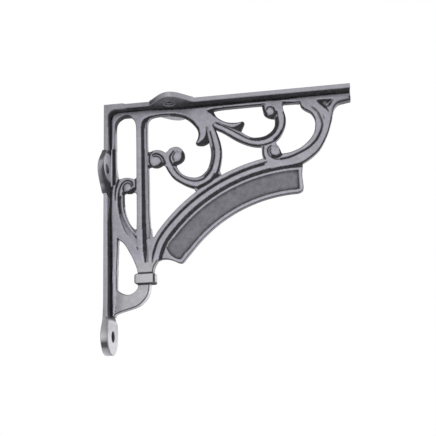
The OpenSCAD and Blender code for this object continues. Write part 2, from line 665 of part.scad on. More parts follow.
module foot_elbow()
    color("silver") slab(stem_t / 2) difference() {
        intersection() { stroke(elbow_shares); web_space(); }
        wall_rail_space();
    }

module arch_rail_area()
    difference() {
        union() {
            arch_space();
            patch(arch_foot_shares);
        }
        inner_bar_space();
        stem_space();
        patch(stem_side_shares);
        end_scroll_space();
    }
module arch_rail()
    color("gray") union() {
        slab(groove_half) arch_rail_area();
        slab(face_half) intersection() {
            union() {
                difference() {
                    patch(arch_foot_shares);
                    arch_space();
                }
                arch_strip(arch_out_share, arch_line_shares[1], arch_right_angle, arch_left_angle);
                arch_strip(arch_line_shares[0], arch_band_share, arch_right_angle, arch_left_angle);
            }
            arch_rail_area();
        }
    }

module panel_space()
    polygon(concat(
        curve([for (share = panel_left_shares) at(share)]),
        reversed(arch_line(panel_in_share, panel_right_angle, panel_foot_angle)),
        curve([for (share = panel_right_shares) at(share)]),
        arch_line(arch_line_shares[0], panel_top_angle, panel_left_angle)
    ));
module panel_area()
    difference() {
        panel_space();
        arch_space();
        stem_space();
        end_scroll_space();
    }
module sector_space(r_share)
    polygon(concat([at(arch_centre_shares)], arch_line(r_share, sector_right_angle, sector_left_angle)));
module field_space()
    polygon(concat(
        arch_line(field_out_share, field_right_angle, field_left_angle),
        curve([for (share = reversed(field_left_shares)) at(share)]),
        reversed(arch_line(field_in_share, field_right_angle, field_left_angle))
    ));
module name_panel()
    color("gray") union() {
        slab(field_half) panel_area();
        slab(panel_half) difference() {
            intersection() { panel_area(); sector_space(panel_rim_share); }
            field_space();
        }
    }

module crown_area() difference() { patch(crown_shares); shelf_rail_space(); }
module crown()
    color("gray") union() {
        slab(groove_half) crown_area();
        slab(face_half) intersection() { patch(crown_face_shares); crown_area(); }
    }

module left_leaf_area()
    difference() {
        stroke(left_leaf_shares);
        patch(crown_shares);
        left_scroll_space();
    }
module left_leaf()
    color("gray") union() {
        slab(groove_half) left_leaf_area();
        slab(face_half) intersection() { stroke(left_leaf_face_shares); left_leaf_area(); }
    }

module left_scroll_space() stroke(left_scroll_shares);
module left_scroll_area()
    difference() {
        union() {
            left_scroll_space();
            patch(left_scroll_foot_shares);
        }
        patch(crown_shares);
        patch(left_inner_eye_shares);
        patch(left_free_eye_shares);
        arch_space();
    }
module left_scroll() color("gray") scroll_levels(left_scroll_shares) left_scroll_area();

// Section of a scroll: a raised bead, a groove and a low step on its inner side
module scroll_levels(rows) {
    union() {
        slab(groove_half) children();
        slab(face_half) intersection() {
            stroke(rows, bead_from_share, bead_to_share);
            children();
        }
        slab(step_half) intersection() { stroke(rows, step_from_share); children(); }
    }
}

module left_inner_eye()
    color("gray") union() {
        slab(groove_half) difference() { patch(left_inner_eye_shares); inner_bar_space(); }
        eye(left_inner_eye_at_shares, eye_r);
    }

module left_free_eye()
    color("gray") union() {
        slab(groove_half) difference() { patch(left_free_eye_shares); patch(left_inner_eye_shares); }
        eye(left_free_eye_at_shares, eye_r);
    }

module right_leaf_area()
    difference() {
        stroke(right_leaf_shares);
        patch(crown_shares);
        left_scroll_space();
    }
module right_leaf()
    color("gray") union() {
        slab(groove_half) right_leaf_area();
        slab(face_half) intersection() { stroke(right_leaf_face_shares); right_leaf_area(); }
    }

module right_scroll_area()
    difference() {
        stroke(right_scroll_shares);
        patch(crown_shares);
        left_scroll_space();
        stroke(right_leaf_shares);
        patch(right_eye_shares);
        shelf_rail_space();
    }
module right_scroll() color("gray") scroll_levels(right_scroll_shares) right_scroll_area();

module right_eye()
    color("gray") union() {
        slab(groove_half) difference() { patch(right_eye_shares); shelf_rail_space(); }
        eye(right_eye_at_shares, eye_r);
    }

module end_scroll_space() stroke(end_scroll_shares);
module end_scroll_area() difference() { end_scroll_space(); shelf_rail_space(); }
module end_scroll()
    color("gray") union() {
        slab(groove_half) end_scroll_area();
        slab(face_half) intersection() {
            for (bead = end_bead_shares) stroke(end_scroll_shares, bead[0], bead[1]);
            end_scroll_area();
        }
    }

module end_eye()
    color("gray") union() {
        slab(groove_half) difference() {
            patch(end_eye_shares);
            stroke(right_scroll_shares);
            end_scroll_space();
            arch_space();
        }
        eye(end_eye_at_shares, eye_r);
    }

module end_spandrel_area()
    difference() {
        patch(end_spandrel_shares);
        shelf_rail_space();
        end_scroll_space();
    }
module end_spandrel()
    color("gray") union() {
        slab(groove_half) end_spandrel_area();
        slab(face_half) intersection() { stroke(end_limb_shares); end_spandrel_area(); }
    }

corner_angle();
shelf_plate();
shelf_ear_front();
shelf_ear_back();
wall_plate();
wall_ear_front();
wall_ear_back();
foot_pad();
corner_web();
shelf_rail();
wall_rail();
inner_bar();
side_scroll();
side_leaf();
stem();
collar();
foot_elbow();
arch_rail();
name_panel();
crown();
left_leaf();
left_scroll();
left_inner_eye();
left_free_eye();
right_leaf();
right_scroll();
right_eye();
end_scroll();
end_eye();
end_spandrel();
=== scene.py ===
import math

import bmesh
import bpy
import numpy as np
from mathutils import Matrix, Vector
from mathutils.bvhtree import BVHTree
from mathutils.geometry import delaunay_2d_cdt
from mathutils.kdtree import KDTree


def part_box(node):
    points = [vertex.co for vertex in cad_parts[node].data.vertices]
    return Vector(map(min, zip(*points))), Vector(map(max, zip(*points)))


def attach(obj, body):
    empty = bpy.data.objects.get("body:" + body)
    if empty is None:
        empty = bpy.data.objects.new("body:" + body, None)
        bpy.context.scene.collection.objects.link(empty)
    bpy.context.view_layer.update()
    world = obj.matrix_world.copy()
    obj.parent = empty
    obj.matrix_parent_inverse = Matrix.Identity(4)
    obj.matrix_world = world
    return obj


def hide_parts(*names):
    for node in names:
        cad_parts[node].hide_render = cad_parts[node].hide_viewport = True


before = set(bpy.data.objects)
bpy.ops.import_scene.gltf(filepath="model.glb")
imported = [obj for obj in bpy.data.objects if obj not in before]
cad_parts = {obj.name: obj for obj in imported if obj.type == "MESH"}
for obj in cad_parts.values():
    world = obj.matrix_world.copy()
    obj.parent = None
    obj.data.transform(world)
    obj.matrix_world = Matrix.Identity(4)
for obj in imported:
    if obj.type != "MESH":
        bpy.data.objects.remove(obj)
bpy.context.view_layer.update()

MM = 0.001
INFINITE = 1e6

# The casting is worked as layers. Each layer is a relief seen square on along one axis:
# its outlines and levels are read off the frame, its steps are softened and its edges rounded.
# All lengths are millimetres until a mesh is written.
PLANE_AXES = {0: (1, 2), 1: (0, 2), 2: (0, 1)}
SIGNS = {"hi": 1.0, "lo": -1.0}
# Spacing of a sheet's points, closer spacing for measuring from an outline, cell of a relief
STEP = 0.45
CLOSE_STEP = 0.2
RASTER = 0.35
# Rows of an even grid stand this share of the spacing apart
ROW_SHARE = 0.866
# How far in the rings along a rounded edge lie, as shares of its radius
RING_SHARES = (0.08, 0.29, 0.62, 1.0)
# A ring keeps the points at this share of its depth or more. The grid stays clear of the outline by
# a share of the spacing, and of the rings by a share of the radius
RING_SLACK = 0.93
RIM_GAP = 0.6
RING_GAP = 1.25
# How far outside an outline other metal is looked for, and parts of a step along a free stretch
JUST_OUTSIDE = 0.06
FREE_PARTS = 4
# Edges steeper than this stay sharp
SHARP_DEGREES = 48
# How much the marks blacken, and how much the seeded mottle of two grains varies the wear and
# painted shade
BLACKENING = 0.9
MOTTLING = 0.12
MOTTLE_GRAINS = (1.1, 0.5)
# Softening of the levels that the wear and painted shade are read by, of the wide average and of the
# blackening
SHARP_SOFTEN, WIDE_SOFTEN, BLACK_SOFTEN = 0.16, 1.6, 0.2
# Half width of a mark's edge, how far its level falls off there, and how deep it is when black
MARK_EDGE, MARK_FALL, BLACK_DEPTH = 0.3, 2.2, 1.1
# Points of a solid this close are one, and a point this close to a plane lies on it
WELD, ON_PLANE = 1e-4, 1e-5
# Kind of triangulation: only the triangles inside the outlines
WITHIN = 1
LAYERS = {
    "web": {
        "axis": 1, "cut": 0, "reach": (-9, 9), "round": 0.8, "soften": 0.38,
        "nodes": ["corner_web", "shelf_rail", "wall_rail", "inner_bar", "side_scroll", "side_leaf",
                  "stem", "foot_elbow", "arch_rail", "name_panel", "crown", "left_leaf",
                  "left_scroll", "left_inner_eye", "left_free_eye", "right_leaf", "right_scroll",
                  "right_eye", "end_scroll", "end_eye", "end_spandrel"],
    },
    "corner": {
        "axis": 1, "cut": 0, "reach": (-14, 14), "round": 0.6, "soften": 0.3,
        "nodes": ["corner_angle"],
    },
    "wall": {
        "axis": 0, "cut": 2.5, "reach": (-1, 7.5), "round": 0.7, "soften": 0.3,
        "nodes": ["wall_plate", "wall_ear_front", "wall_ear_back", "foot_pad"],
    },
    "shelf": {
        "axis": 2, "cut": -2.5, "reach": (-6, 1), "round": 0.7, "soften": 0.3,
        "nodes": ["shelf_plate", "shelf_ear_front", "shelf_ear_back"],
    },
    "collar": {
        "axis": 2, "cut": -163, "reach": (-170, -156), "round": 0.9, "soften": 0.3,
        "nodes": ["collar"],
    },
}
# Nodes near the foot are of the foot's iron, the rest of the web's or the plates'
FOOT_NODES = ("foot_pad", "stem", "collar", "foot_elbow")

# Half thickness of the raised face of each part of the web
FACE = 4.0
PANEL_FACE = 3.2
STEM_FACE = 4.7

# Round eyes of the scrolls: centre out and up, radius
EYES = ((21.3, -78.4, 3.5), (46.2, -55, 4.1), (67.5, -52.2, 4), (153.2, -16.2, 3.5),
        (155.8, -54.6, 4.3))
EYE_RISE = 0.7
# Nodes that carry the eyes, whose bodies are worked from a flat a little under the face, in the
# small side scroll only above a height
EYE_NODES = ("side_scroll", "left_inner_eye", "left_free_eye", "right_eye", "end_eye")
EYE_FLAT = FACE - 0.05
SIDE_EYE_FOOT = -86.0
# The stem's face rises from the web's between these heights, and the elbow's falls back to it
# between these places out from the wall, below the collar
STEM_RISE = (-148, -157)
STEM_TOP = -146
ELBOW_TOP = -165
ELBOW_RISE = (10.5, 18)

# Middle of the arch's circle and radius of the groove along it
ARCH_MIDDLE = (175.4, -220.2)
ARCH_GROOVE = 156.3
# Towards its foot the groove is drawn in: from this angle on, by this share of the radius at a
# number of degrees further round
DRAWN_FROM, DRAWN_SHARE, DRAWN_OVER = 141.5, 0.055, 12
ARCH_PARTS = 12


def arch_points(first, last):
    """Points along the arch between two angles in degrees"""
    points = []
    for k in range(ARCH_PARTS + 1):
        angle = first + (last - first) * k / ARCH_PARTS
        r = ARCH_GROOVE * (1 - DRAWN_SHARE * max((angle - DRAWN_FROM) / DRAWN_OVER, 0) ** 2)
        points.append((ARCH_MIDDLE[0] + r * math.cos(math.radians(angle)),
                       ARCH_MIDDLE[1] + r * math.sin(math.radians(angle))))
    return tuple(points)


# The finer relief is worked over in turn. Each mark raises or lowers the metal to a level along a
# line of some width, whose points are out and up. A pair of levels is graded along the line.
RAISE, LOWER = True, False
BEFORE_EYES = (
    # Head of the bar's low step, under the corner web
    (RAISE, 3.4, 2.2, ((38.6, -25), (38.8, -20.5), (39.8, -17.4))),
    # Rail against the wall plate
    (RAISE, 4, 2.4, ((7.4, -12), (7.3, -26), (7.2, -42))),
    # Rail and its shadow beside the wall ear
    (RAISE, 4, 1.8, ((6.2, -42), (6, -60), (6.1, -76))),
    (LOWER, 3.02, 3, ((8.4, -42), (8.5, -60), (8.6, -74))),
    # Rail down to the foot, and under the shelf
    (RAISE, 4, 2.4, ((7.5, -80), (7, -103), (7.5, -120), (8, -153), (8.2, -192))),
    (RAISE, 4, 2.4, ((8, -13), (8.2, -9.2), (10.5, -7), (15, -6.4), (22, -6.4))),
    # Right scroll where it turns over its eye, and the eye's band
    (RAISE, 3.95, 4.8, ((151.6, -8.6), (158, -9.2), (163.4, -10.6), (163.8, -17))),
    (RAISE, 3.95, 3.4, ((161.4, -17), (160.4, -12.6), (156, -10.6), (151.6, -10.8))),
    (RAISE, 3.95, 2.4, ((162.2, -14), (161.6, -18.5), (162, -25))),
    # Right scroll: its dark inner fillet, and its outer edge
    (LOWER, 3, 2.6, ((159.2, -24), (159.2, -28), (158, -33.6), (154.5, -38.5), (149.4, -41.2))),
    (LOWER, (3, 3.3), 1.9, ((149.4, -41.2), (141.7, -42.3), (134.5, -41.4))),
    (LOWER, 3.1, 1.5, ((166.5, -23.8), (166, -30.5), (163.6, -36.5))),
    (LOWER, 3, 2.4, ((163.6, -36.5), (160.8, -40.7), (156.6, -44.3))),
    # End scroll: its bands run on round the end eye
    (RAISE, 3.95, 5, ((188.4, -9.5), (191.6, -14.8), (195, -20.5), (197, -27))),
    (RAISE, 3.95, 3.6, ((190, -8.5), (195, -16), (198.6, -24), (199.6, -32), (197.7, -40))),
    (RAISE, 3.95, 5.6, ((198.6, -38), (193.8, -47.6), (187, -54.2), (177.8, -59.4),
                        (168.6, -62.6), (160, -64))),
    (RAISE, 3.95, 5, ((160, -66), (154, -65.4), (150, -62.5), (147.6, -59), (147, -54))),
    (RAISE, 3.95, 4, ((150, -66.5), (143, -69))),
    # Scrolls where they leave the crown
    (RAISE, 3.75, 3.4, ((97, -24), (98.4, -29.5))),
    (RAISE, 3.75, 3, ((103, -25.5), (107, -28.4))),
    # Limb from the small scroll, flattening as it runs down
    (RAISE, (3.12, 3.34), 5, ((13.4, -86.5), (13.6, -94), (14.6, -102), (17, -109))),
    (RAISE, (3.34, 3.75), 5, ((17, -109), (21, -117.5), (24.6, -124), (29.6, -132))),
    (RAISE, 3.72, 1.3, ((15.8, -85.9), (15.5, -92.5), (16.4, -101.3), (19.7, -110.1),
                        (24.3, -117.7))),
    # Metal between the foot of the arch and the bar
    (RAISE, 4, 4, ((40, -129), (40.6, -136))),
    (RAISE, 4, 2.4, ((40.6, -136), (40.6, -147))),
    (RAISE, 4, 2.6, ((44, -146.5), (43.6, -150))),
    # Scroll's foot on the arch
    (RAISE, 3.9, 2.6, ((105.6, -71.2), (106.6, -72.4))),
    (RAISE, 3.9, 2.6, ((83.6, -84.6), (84.8, -86))),
    # Panel's rim at its top left
    (RAISE, 3.2, 1.2, ((56.6, -135.2), (58.5, -131), (62.2, -127.6))),
    # Limb at the nose, smooth over its seam
    (RAISE, 3.9, 3, ((206, -18.5), (207.4, -22), (207.6, -26.5))),
    # Spandrel at the nose
    (RAISE, 3.25, 4, ((203, -13.5), (205.5, -16.5))),
    (RAISE, 3.8, 0.9, ((210.2, -10.8), (204.6, -15.6))),
    # Undersides of the eyes, where the metal falls away, blackened as painted shade
    (LOWER, 2.9, 4.6, ((46.5, -62.5), (51, -61), (54.6, -57.6))),
    (LOWER, 2.9, 4.2, ((73.6, -50), (73.2, -54.8), (70.4, -58.6), (65.5, -59.8))),
    (LOWER, 2.9, 3.4, ((152.6, -22.6), (156.6, -21.6), (158.8, -18.6))),
    (LOWER, 3.2, 2.2, ((147.8, -11), (148.4, -15), (150.6, -20.5))),
    (LOWER, 2.9, 2.6, ((154, -60.6), (158.5, -60.6), (161.6, -58.2), (161.4, -54.6))),
    (LOWER, 2.9, 3.4, ((17.5, -84), (22, -83.6), (25.6, -81.6), (27.2, -80.6))),
)
AFTER_EYES = (
    # Spiral of the left inner eye, and where it meets the bar
    (LOWER, 2.8, 1.4, ((44.7, -49.6), (46.2, -48.6), (48.6, -48.6), (51.3, -49.8), (53.6, -52),
                       (55.1, -54.8), (56.4, -59))),
    (LOWER, 3, 1.1, ((45.8, -51), (47.8, -50.7), (50.1, -51.5), (52, -53.4), (53.4, -57))),
    (RAISE, 3.9, 0.7, ((49.1, -50), (50.9, -50.8), (52.4, -52.5), (53.7, -55), (54.6, -57))),
    (LOWER, 2.9, 1.2, ((44.6, -46.6), (42.7, -48.4), (41.7, -51.6), (41.8, -56), (43.3, -59.4),
                       (45.8, -61.4))),
    (LOWER, 2.9, 1.8, ((41.3, -46.4), (40.9, -49))),
    (LOWER, 2.9, 2.2, ((41, -59.6), (42.6, -61.8))),
    # Spiral of the left free eye
    (LOWER, 2.8, 1.4, ((64.2, -47.6), (62.1, -50.1), (60.9, -52.4), (61, -55.6), (62.3, -58.8),
                       (63.6, -61.4))),
    (LOWER, 3.1, 1, ((65.6, -49.2), (64.2, -50.7), (63.6, -52.6), (63.7, -54.6), (64.7, -56.7))),
    # Ring of the right eye
    (LOWER, 3.25, 1.1, ((150.6, -15.2), (151.9, -13.1), (154.6, -12.6), (156.8, -14))),
    (LOWER, 2.95, 1.4, ((156.8, -14), (157.7, -16.6), (157.4, -20))),
    # Spiral of the end eye, and its shadow
    (LOWER, 2.95, 1.2, ((153, -50), (151, -51.3), (149.8, -53.4), (149.9, -56))),
    (LOWER, (3.35, 3.25), 1.2, ((149.9, -56), (151, -58.8), (153.5, -61.1), (156.6, -62.8),
                                (161, -63.2))),
    (LOWER, 2.8, 2.2, ((153.8, -59.5), (157.6, -60.4), (160.6, -58.8))),
    (LOWER, 3.1, 1, ((152.4, -52.4), (151.7, -54.9), (152.5, -57.4), (154, -59.2))),
    (LOWER, 3, 1.2, ((146.2, -50.2), (145.8, -54), (146, -58), (147.2, -62))),
    # Soft groove along the end scroll
    (LOWER, (3, 3.1), 1.8, ((161, -63), (168.6, -61.9), (177.6, -58.6), (186.7, -53.9),
                            (193.4, -47.8))),
    (LOWER, (3.1, 3.6), 2, ((193.4, -47.8), (197.7, -40), (199.4, -33), (198, -26.6),
                            (195.7, -21), (191.6, -16.6))),
    # Left scroll: its inner fillet, and its foot against the arch
    (LOWER, 3.3, 2.4, ((100.2, -46.6), (100, -51.4), (99.7, -56.1), (99, -60.8), (97.8, -64.9))),
    (LOWER, 3.6, 2.4, ((97.8, -64.9), (95.3, -68.5), (90.4, -72.8))),
    (LOWER, 2.85, 1.1, ((99.3, -63.6), (98, -66.6), (95.4, -69.9), (92.4, -73.6))),
    (LOWER, 2.85, 2.8, ((101.5, -72.7), (100, -75.4), (97.7, -77.9), (92.6, -80.9), (87.3, -83.1))),
    # Groove along the arch
    (LOWER, 2.9, 1.9, arch_points(101, 149)),
    (LOWER, (2.9, 3.6), 1.4, arch_points(149, 151.5)),
    # Small scroll: its spiral, and its dark lines against the rail and the bar
    (LOWER, 2.85, 1.2, ((12.7, -86), (13, -82), (14.2, -78), (16.8, -73.8), (20.6, -72),
                        (24.5, -73.4), (26.2, -76.8))),
    (LOWER, 2.9, 1.7, ((12.6, -71.4), (11.4, -74.6), (10.3, -78.3))),
    (LOWER, (2.9, 3.5), 1.1, ((10.3, -78.3), (9.6, -83), (9.5, -90))),
    (LOWER, 2.95, 1.1, ((28.6, -71), (28.8, -76), (28.6, -81.5))),
    (LOWER, 3, 1.6, ((12.7, -84), (12.7, -90), (13.3, -96), (14.4, -102))),
    (RAISE, 3.9, 0.8, ((16, -86), (15.7, -82.5), (15.6, -78.4), (17.5, -75), (20.8, -73.2),
                       (23.8, -74.4))),
    (LOWER, 2.9, 1, ((17.6, -82), (16.9, -78.2), (18.8, -75.1), (21.5, -74.3), (24.2, -75.8),
                     (25.1, -78.4))),
    # Dark line along the limb's free edge
    (LOWER, 3.2, 0.9, ((17.6, -85.5), (17.2, -92), (18.2, -100.2), (21.1, -108.3), (25, -115.8),
                       (28.5, -120.8))),
)


def smooth(low, high, value):
    """Soft step from 0 at low to 1 at high"""
    t = np.clip((np.asarray(value, float) - low) / (high - low), 0, 1)
    return t * t * (3 - 2 * t)


def curve(points, steps=6):
    """Smooth curve through the points"""
    p = [np.array(q, float) for q in points]
    out = []
    for i in range(len(p) - 1):
        a, b = p[max(i - 1, 0)], p[i]
        c, d = p[i + 1], p[min(i + 2, len(p) - 1)]
        for k in range(steps):
            t = k / steps
            out.append(b + (c - a) * t / 2 + (2 * a - 5 * b + 4 * c - d) * t ** 2 / 2
                       + (3 * b - a - 3 * c + d) * t ** 3 / 2)
    out.append(p[-1])
    return np.array(out)


def along_axis(axis, length):
    """Vector of that length along an axis"""
    return Vector([length if k == axis else 0.0 for k in range(3)])


def at_level(axis, level, place):
    """Point at a level along an axis and at a place on the plane across it"""
    a, b = PLANE_AXES[axis]
    at = [0.0, 0.0, 0.0]
    at[axis], at[a], at[b] = level, place[0], place[1]
    return Vector(at)


def node_tree(names):
    """Search tree over the frame's solids, in millimetres"""
    verts, polys = [], []
    for name in names:
        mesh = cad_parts[name].data
        base = len(verts)
        verts += [v.co / MM for v in mesh.vertices]
        polys += [[base + i for i in p.vertices] for p in mesh.polygons]
    return BVHTree.FromPolygons(verts, polys)


def loop_area(points):
    """Signed area of a loop, positive where it turns left"""
    x, y = points[:, 0], points[:, 1]
    return 0.5 * float(np.sum(x * np.roll(y, -1) - np.roll(x, -1) * y))


def outlines(name, axis, level):
    """Closed outlines of a node where a plane cuts it: the outer one turns left, holes turn right"""
    bm = bmesh.new()
    bm.from_mesh(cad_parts[name].data)
    bmesh.ops.scale(bm, vec=(1 / MM,) * 3, verts=bm.verts)
    bmesh.ops.remove_doubles(bm, verts=bm.verts, dist=WELD)
    across = along_axis(axis, 1.0)
    parts = bm.verts[:] + bm.edges[:] + bm.faces[:]
    cut = bmesh.ops.bisect_plane(bm, geom=parts, dist=ON_PLANE, plane_co=across * level,
                                 plane_no=across)
    edges = {e for e in cut["geom_cut"] if isinstance(e, bmesh.types.BMEdge)}
    a, b = PLANE_AXES[axis]
    loops = []
    while edges:
        edge = edges.pop()
        first, at = edge.verts[0], edge.verts[1]
        points = [first.co.copy()]
        while at is not first:
            points.append(at.co.copy())
            onward = [e for e in at.link_edges if e in edges]
            if not onward:
                break
            edges.discard(onward[0])
            at = onward[0].other_vert(at)
        loops.append(np.array([(p[a], p[b]) for p in points]))
    bm.free()
    loops = [q for q in loops if len(q) > 2]
    loops.sort(key=lambda q: -abs(loop_area(q)))
    return [q if (loop_area(q) > 0) == (i == 0) else q[::-1] for i, q in enumerate(loops)]


def spread(points, step):
    """The loop's points with more between them, and the outward normal at each"""
    out, normals = [], []
    for p, q in zip(points, np.roll(points, -1, axis=0)):
        length = float(np.hypot(*(q - p)))
        if length < 1e-5:
            continue
        count = max(1, int(math.ceil(length / step)))
        normal = np.array([q[1] - p[1], p[0] - q[0]]) / length
        for k in range(count):
            out.append(p + (q - p) * k / count)
            normals.append(normal)
    normals = np.array(normals)
    corner = normals + np.roll(normals, 1, axis=0)
    corner /= np.maximum(np.linalg.norm(corner, axis=1, keepdims=True), 1e-9)
    return np.array(out), corner


def inside(points, loops):
    """Which points lie between the loops"""
    result = np.zeros(len(points), bool)
    x, y = points[:, 0], points[:, 1]
    for loop in loops:
        for (x0, y0), (x1, y1) in zip(loop, np.roll(loop, -1, axis=0)):
            if y0 == y1:
                continue
            between = (y0 > y) != (y1 > y)
            result ^= between & (x < (x1 - x0) * (y - y0) / (y1 - y0) + x0)
    return result


def tree_of(points):
    """Search tree over points of a layer's plane"""
    tree = KDTree(max(len(points), 1))
    for i, p in enumerate(points):
        tree.insert((p[0], p[1], 0.0), i)
    if not len(points):
        tree.insert((INFINITE, INFINITE, 0.0), 0)
    tree.balance()
    return tree


def distances(points, tree):
    """Distance of each point from the nearest in a tree"""
    return np.array([tree.find((p[0], p[1], 0.0))[2] for p in points])


def blur(values, sigma):
    """Gaussian blur of a raster, sigma in cells"""
    reach = max(1, int(math.ceil(sigma * 3)))
    kernel = np.exp(-0.5 * (np.arange(-reach, reach + 1) / sigma) ** 2)
    kernel /= kernel.sum()
    for axis in (0, 1):
        padded = np.pad(values, [(reach, reach) if k == axis else (0, 0) for k in (0, 1)])
        values = sum(w * np.take(padded, range(i, i + values.shape[axis]), axis=axis)
                     for i, w in enumerate(kernel))
    return values


def average(level, mask, reach):
    """Levels of a raster, averaged over the metal nearby"""
    weight = blur(mask, reach / RASTER)
    return blur(level * mask, reach / RASTER) / np.maximum(weight, 1e-6)


class Relief:
    """Levels of a layer on a raster, softened, with a wider average for the recesses"""

    def __init__(self, layer):
        self.axis = layer["axis"]
        tree = node_tree(layer["nodes"])
        a, b = PLANE_AXES[self.axis]
        boxes = np.array([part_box(name) for name in layer["nodes"]]) / MM
        self.low = boxes[:, 0, [a, b]].min(axis=0) - 3 * RASTER
        high = boxes[:, 1, [a, b]].max(axis=0) + 3 * RASTER
        self.shape = tuple(int(v) + 2 for v in (high - self.low) / RASTER)
        self.sides = {}
        self.black = np.zeros(self.shape)
        rough = np.random.default_rng(7).random(self.shape) - 0.5
        coarse, fine = (blur(rough, grain / RASTER) for grain in MOTTLE_GRAINS)
        self.mottle = coarse + 0.5 * fine
        self.mottle /= np.abs(self.mottle).max()
        for side, sign in SIGNS.items():
            start = layer["reach"][1] if sign > 0 else layer["reach"][0]
            aim = along_axis(self.axis, -sign)
            level, mask = np.zeros(self.shape), np.zeros(self.shape)
            for cell in np.ndindex(self.shape):
                place = self.low + np.array(cell) * RASTER
                hit = tree.ray_cast(at_level(self.axis, start, place), aim)[0]
                if hit is not None:
                    level[cell], mask[cell] = hit[self.axis], 1.0
            self.sides[side] = [level, mask]

    def grid(self):
        """Places of the raster's cells"""
        i, j = np.meshgrid(np.arange(self.shape[0]), np.arange(self.shape[1]), indexing="ij")
        return self.low[0] + i * RASTER, self.low[1] + j * RASTER

    def finish(self, soften):
        """Each side's softened levels, its sharp ones and its wide average"""
        for side, (level, mask) in self.sides.items():
            reaches = (soften, SHARP_SOFTEN, WIDE_SOFTEN)
            self.sides[side] = [average(level, mask, reach) for reach in reaches]
        self.black = blur(self.black, BLACK_SOFTEN / RASTER)

    def read(self, field, points):
        """Values of a raster at the points"""
        u = np.clip((points[:, 0] - self.low[0]) / RASTER, 0, self.shape[0] - 1.001)
        v = np.clip((points[:, 1] - self.low[1]) / RASTER, 0, self.shape[1] - 1.001)
        i, j = u.astype(int), v.astype(int)
        f, g = u - i, v - j
        return (field[i, j] * (1 - f) * (1 - g) + field[i + 1, j] * f * (1 - g)
                + field[i, j + 1] * (1 - f) * g + field[i + 1, j + 1] * f * g)


def line_distance(gx, gy, points):
    """Distance of raster cells from a line through the points, and how far along it they are"""
    best = np.full(gx.shape, INFINITE)
    share = np.zeros(gx.shape)
    lengths = np.hypot(*(points[1:] - points[:-1]).T)
    total, run = max(float(lengths.sum()), 1e-6), 0.0
    for p, q, length in zip(points[:-1], points[1:], lengths):
        d = q - p
        t = np.clip(((gx - p[0]) * d[0] + (gy - p[1]) * d[1]) / max(float(d @ d), 1e-9), 0, 1)
        away = np.hypot(gx - p[0] - t * d[0], gy - p[1] - t * d[1])
        share = np.where(away < best, (run + t * length) / total, share)
        best = np.minimum(best, away)
        run += length
    return best, share


def work_over(depth, black, gx, gy, marks):
    """Raise or lower the metal along each mark in turn, and note where it is black"""
    for raised, level, width, points in marks:
        line = curve(points)
        low, high = line.min(axis=0) - width, line.max(axis=0) + width
        near = (gx > low[0]) & (gx < high[0]) & (gy > low[1]) & (gy < high[1])
        away, share = line_distance(gx[near], gy[near], line)
        slope = smooth(width / 2 - MARK_EDGE, width / 2 + MARK_EDGE, away)
        if isinstance(level, tuple):
            level = level[0] + (level[1] - level[0]) * share
        if raised:
            depth[near] = np.maximum(depth[near], level - MARK_FALL * slope)
            black[near] *= slope
        else:
            depth[near] = np.minimum(depth[near], level + MARK_FALL * slope)
            amount = np.clip((FACE - level) / BLACK_DEPTH, 0, 1)
            black[near] = np.maximum(black[near], amount * (1 - slope))


def carve_web(relief):
    """Eyes, spirals and the run of the grooves, alike on both sides of the web"""
    gx, gy = relief.grid()
    level, mask = relief.sides["lo"]
    depth = -level
    cells = np.stack([gx.ravel(), gy.ravel()], axis=1)
    for name in EYE_NODES:
        low, high = (np.array(v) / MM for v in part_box(name))
        near = ((cells[:, 0] > low[0]) & (cells[:, 0] < high[0])
                & (cells[:, 1] > low[2]) & (cells[:, 1] < high[2]))
        found = np.zeros(len(cells), bool)
        near &= (cells[:, 1] > SIDE_EYE_FOOT) | (name != "side_scroll")
        found[near] = inside(cells[near], outlines(name, 1, 0.0))
        depth = np.where(found.reshape(depth.shape), EYE_FLAT, depth)
    rise = STEM_FACE - FACE
    depth = np.where((gy < STEM_TOP) & (depth > FACE), FACE + rise * smooth(*STEM_RISE, gy), depth)
    elbow = (gy < ELBOW_TOP) & (depth > FACE)
    depth = np.where(elbow, np.minimum(depth, FACE + rise * smooth(*ELBOW_RISE, gx)), depth)
    work_over(depth, relief.black, gx, gy, BEFORE_EYES)
    for cx, cy, r in EYES:
        rho = np.hypot(gx - cx, gy - cy) / r
        dome = FACE + EYE_RISE * np.sqrt(np.clip(1 - rho ** 2, 0, 1))
        depth = np.where((rho < 1) & (mask > 0), dome, depth)
    work_over(depth, relief.black, gx, gy, AFTER_EYES)
    relief.sides["lo"] = [-depth * mask, mask]
    relief.sides["hi"] = [depth * mask, mask]


# Heights between which the foot's back runs out into the plate's back, and its face into the
# plate's face, with the highest place that the back's run reaches
FOOT_BACK_RUN = (-211, -195.5)
FOOT_BACK_TOP = -190
FOOT_FACE_RUN = (-195.8, -201)


def carve_wall(relief):
    """The foot runs out smoothly into the back and the face of the plate"""
    gx, gy = relief.grid()
    back, face = (corner[0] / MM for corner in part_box("wall_plate"))
    foot_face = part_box("foot_pad")[1][0] / MM
    level, mask = relief.sides["lo"]
    ramp = back * smooth(*FOOT_BACK_RUN, gy) * (gy < FOOT_BACK_TOP)
    relief.sides["lo"] = [np.maximum(level, ramp * mask), mask]
    level, mask = relief.sides["hi"]
    ramp = face + (foot_face - face) * smooth(*FOOT_FACE_RUN, gy)
    relief.sides["hi"] = [np.where(level > face + 0.1, np.minimum(level, ramp), level), mask]


# Rounding of the collar's ends: how far in it reaches and how far it drops
COLLAR_LEFT = (3.0, 2.2)
COLLAR_RIGHT = (2.0, 1.2)


def quarter(away, reach, drop):
    """Drop of a quarter round at a distance from its end"""
    share = np.clip((reach - away) / reach, 0, 1)
    return drop * (1 - np.sqrt(1 - share ** 2))


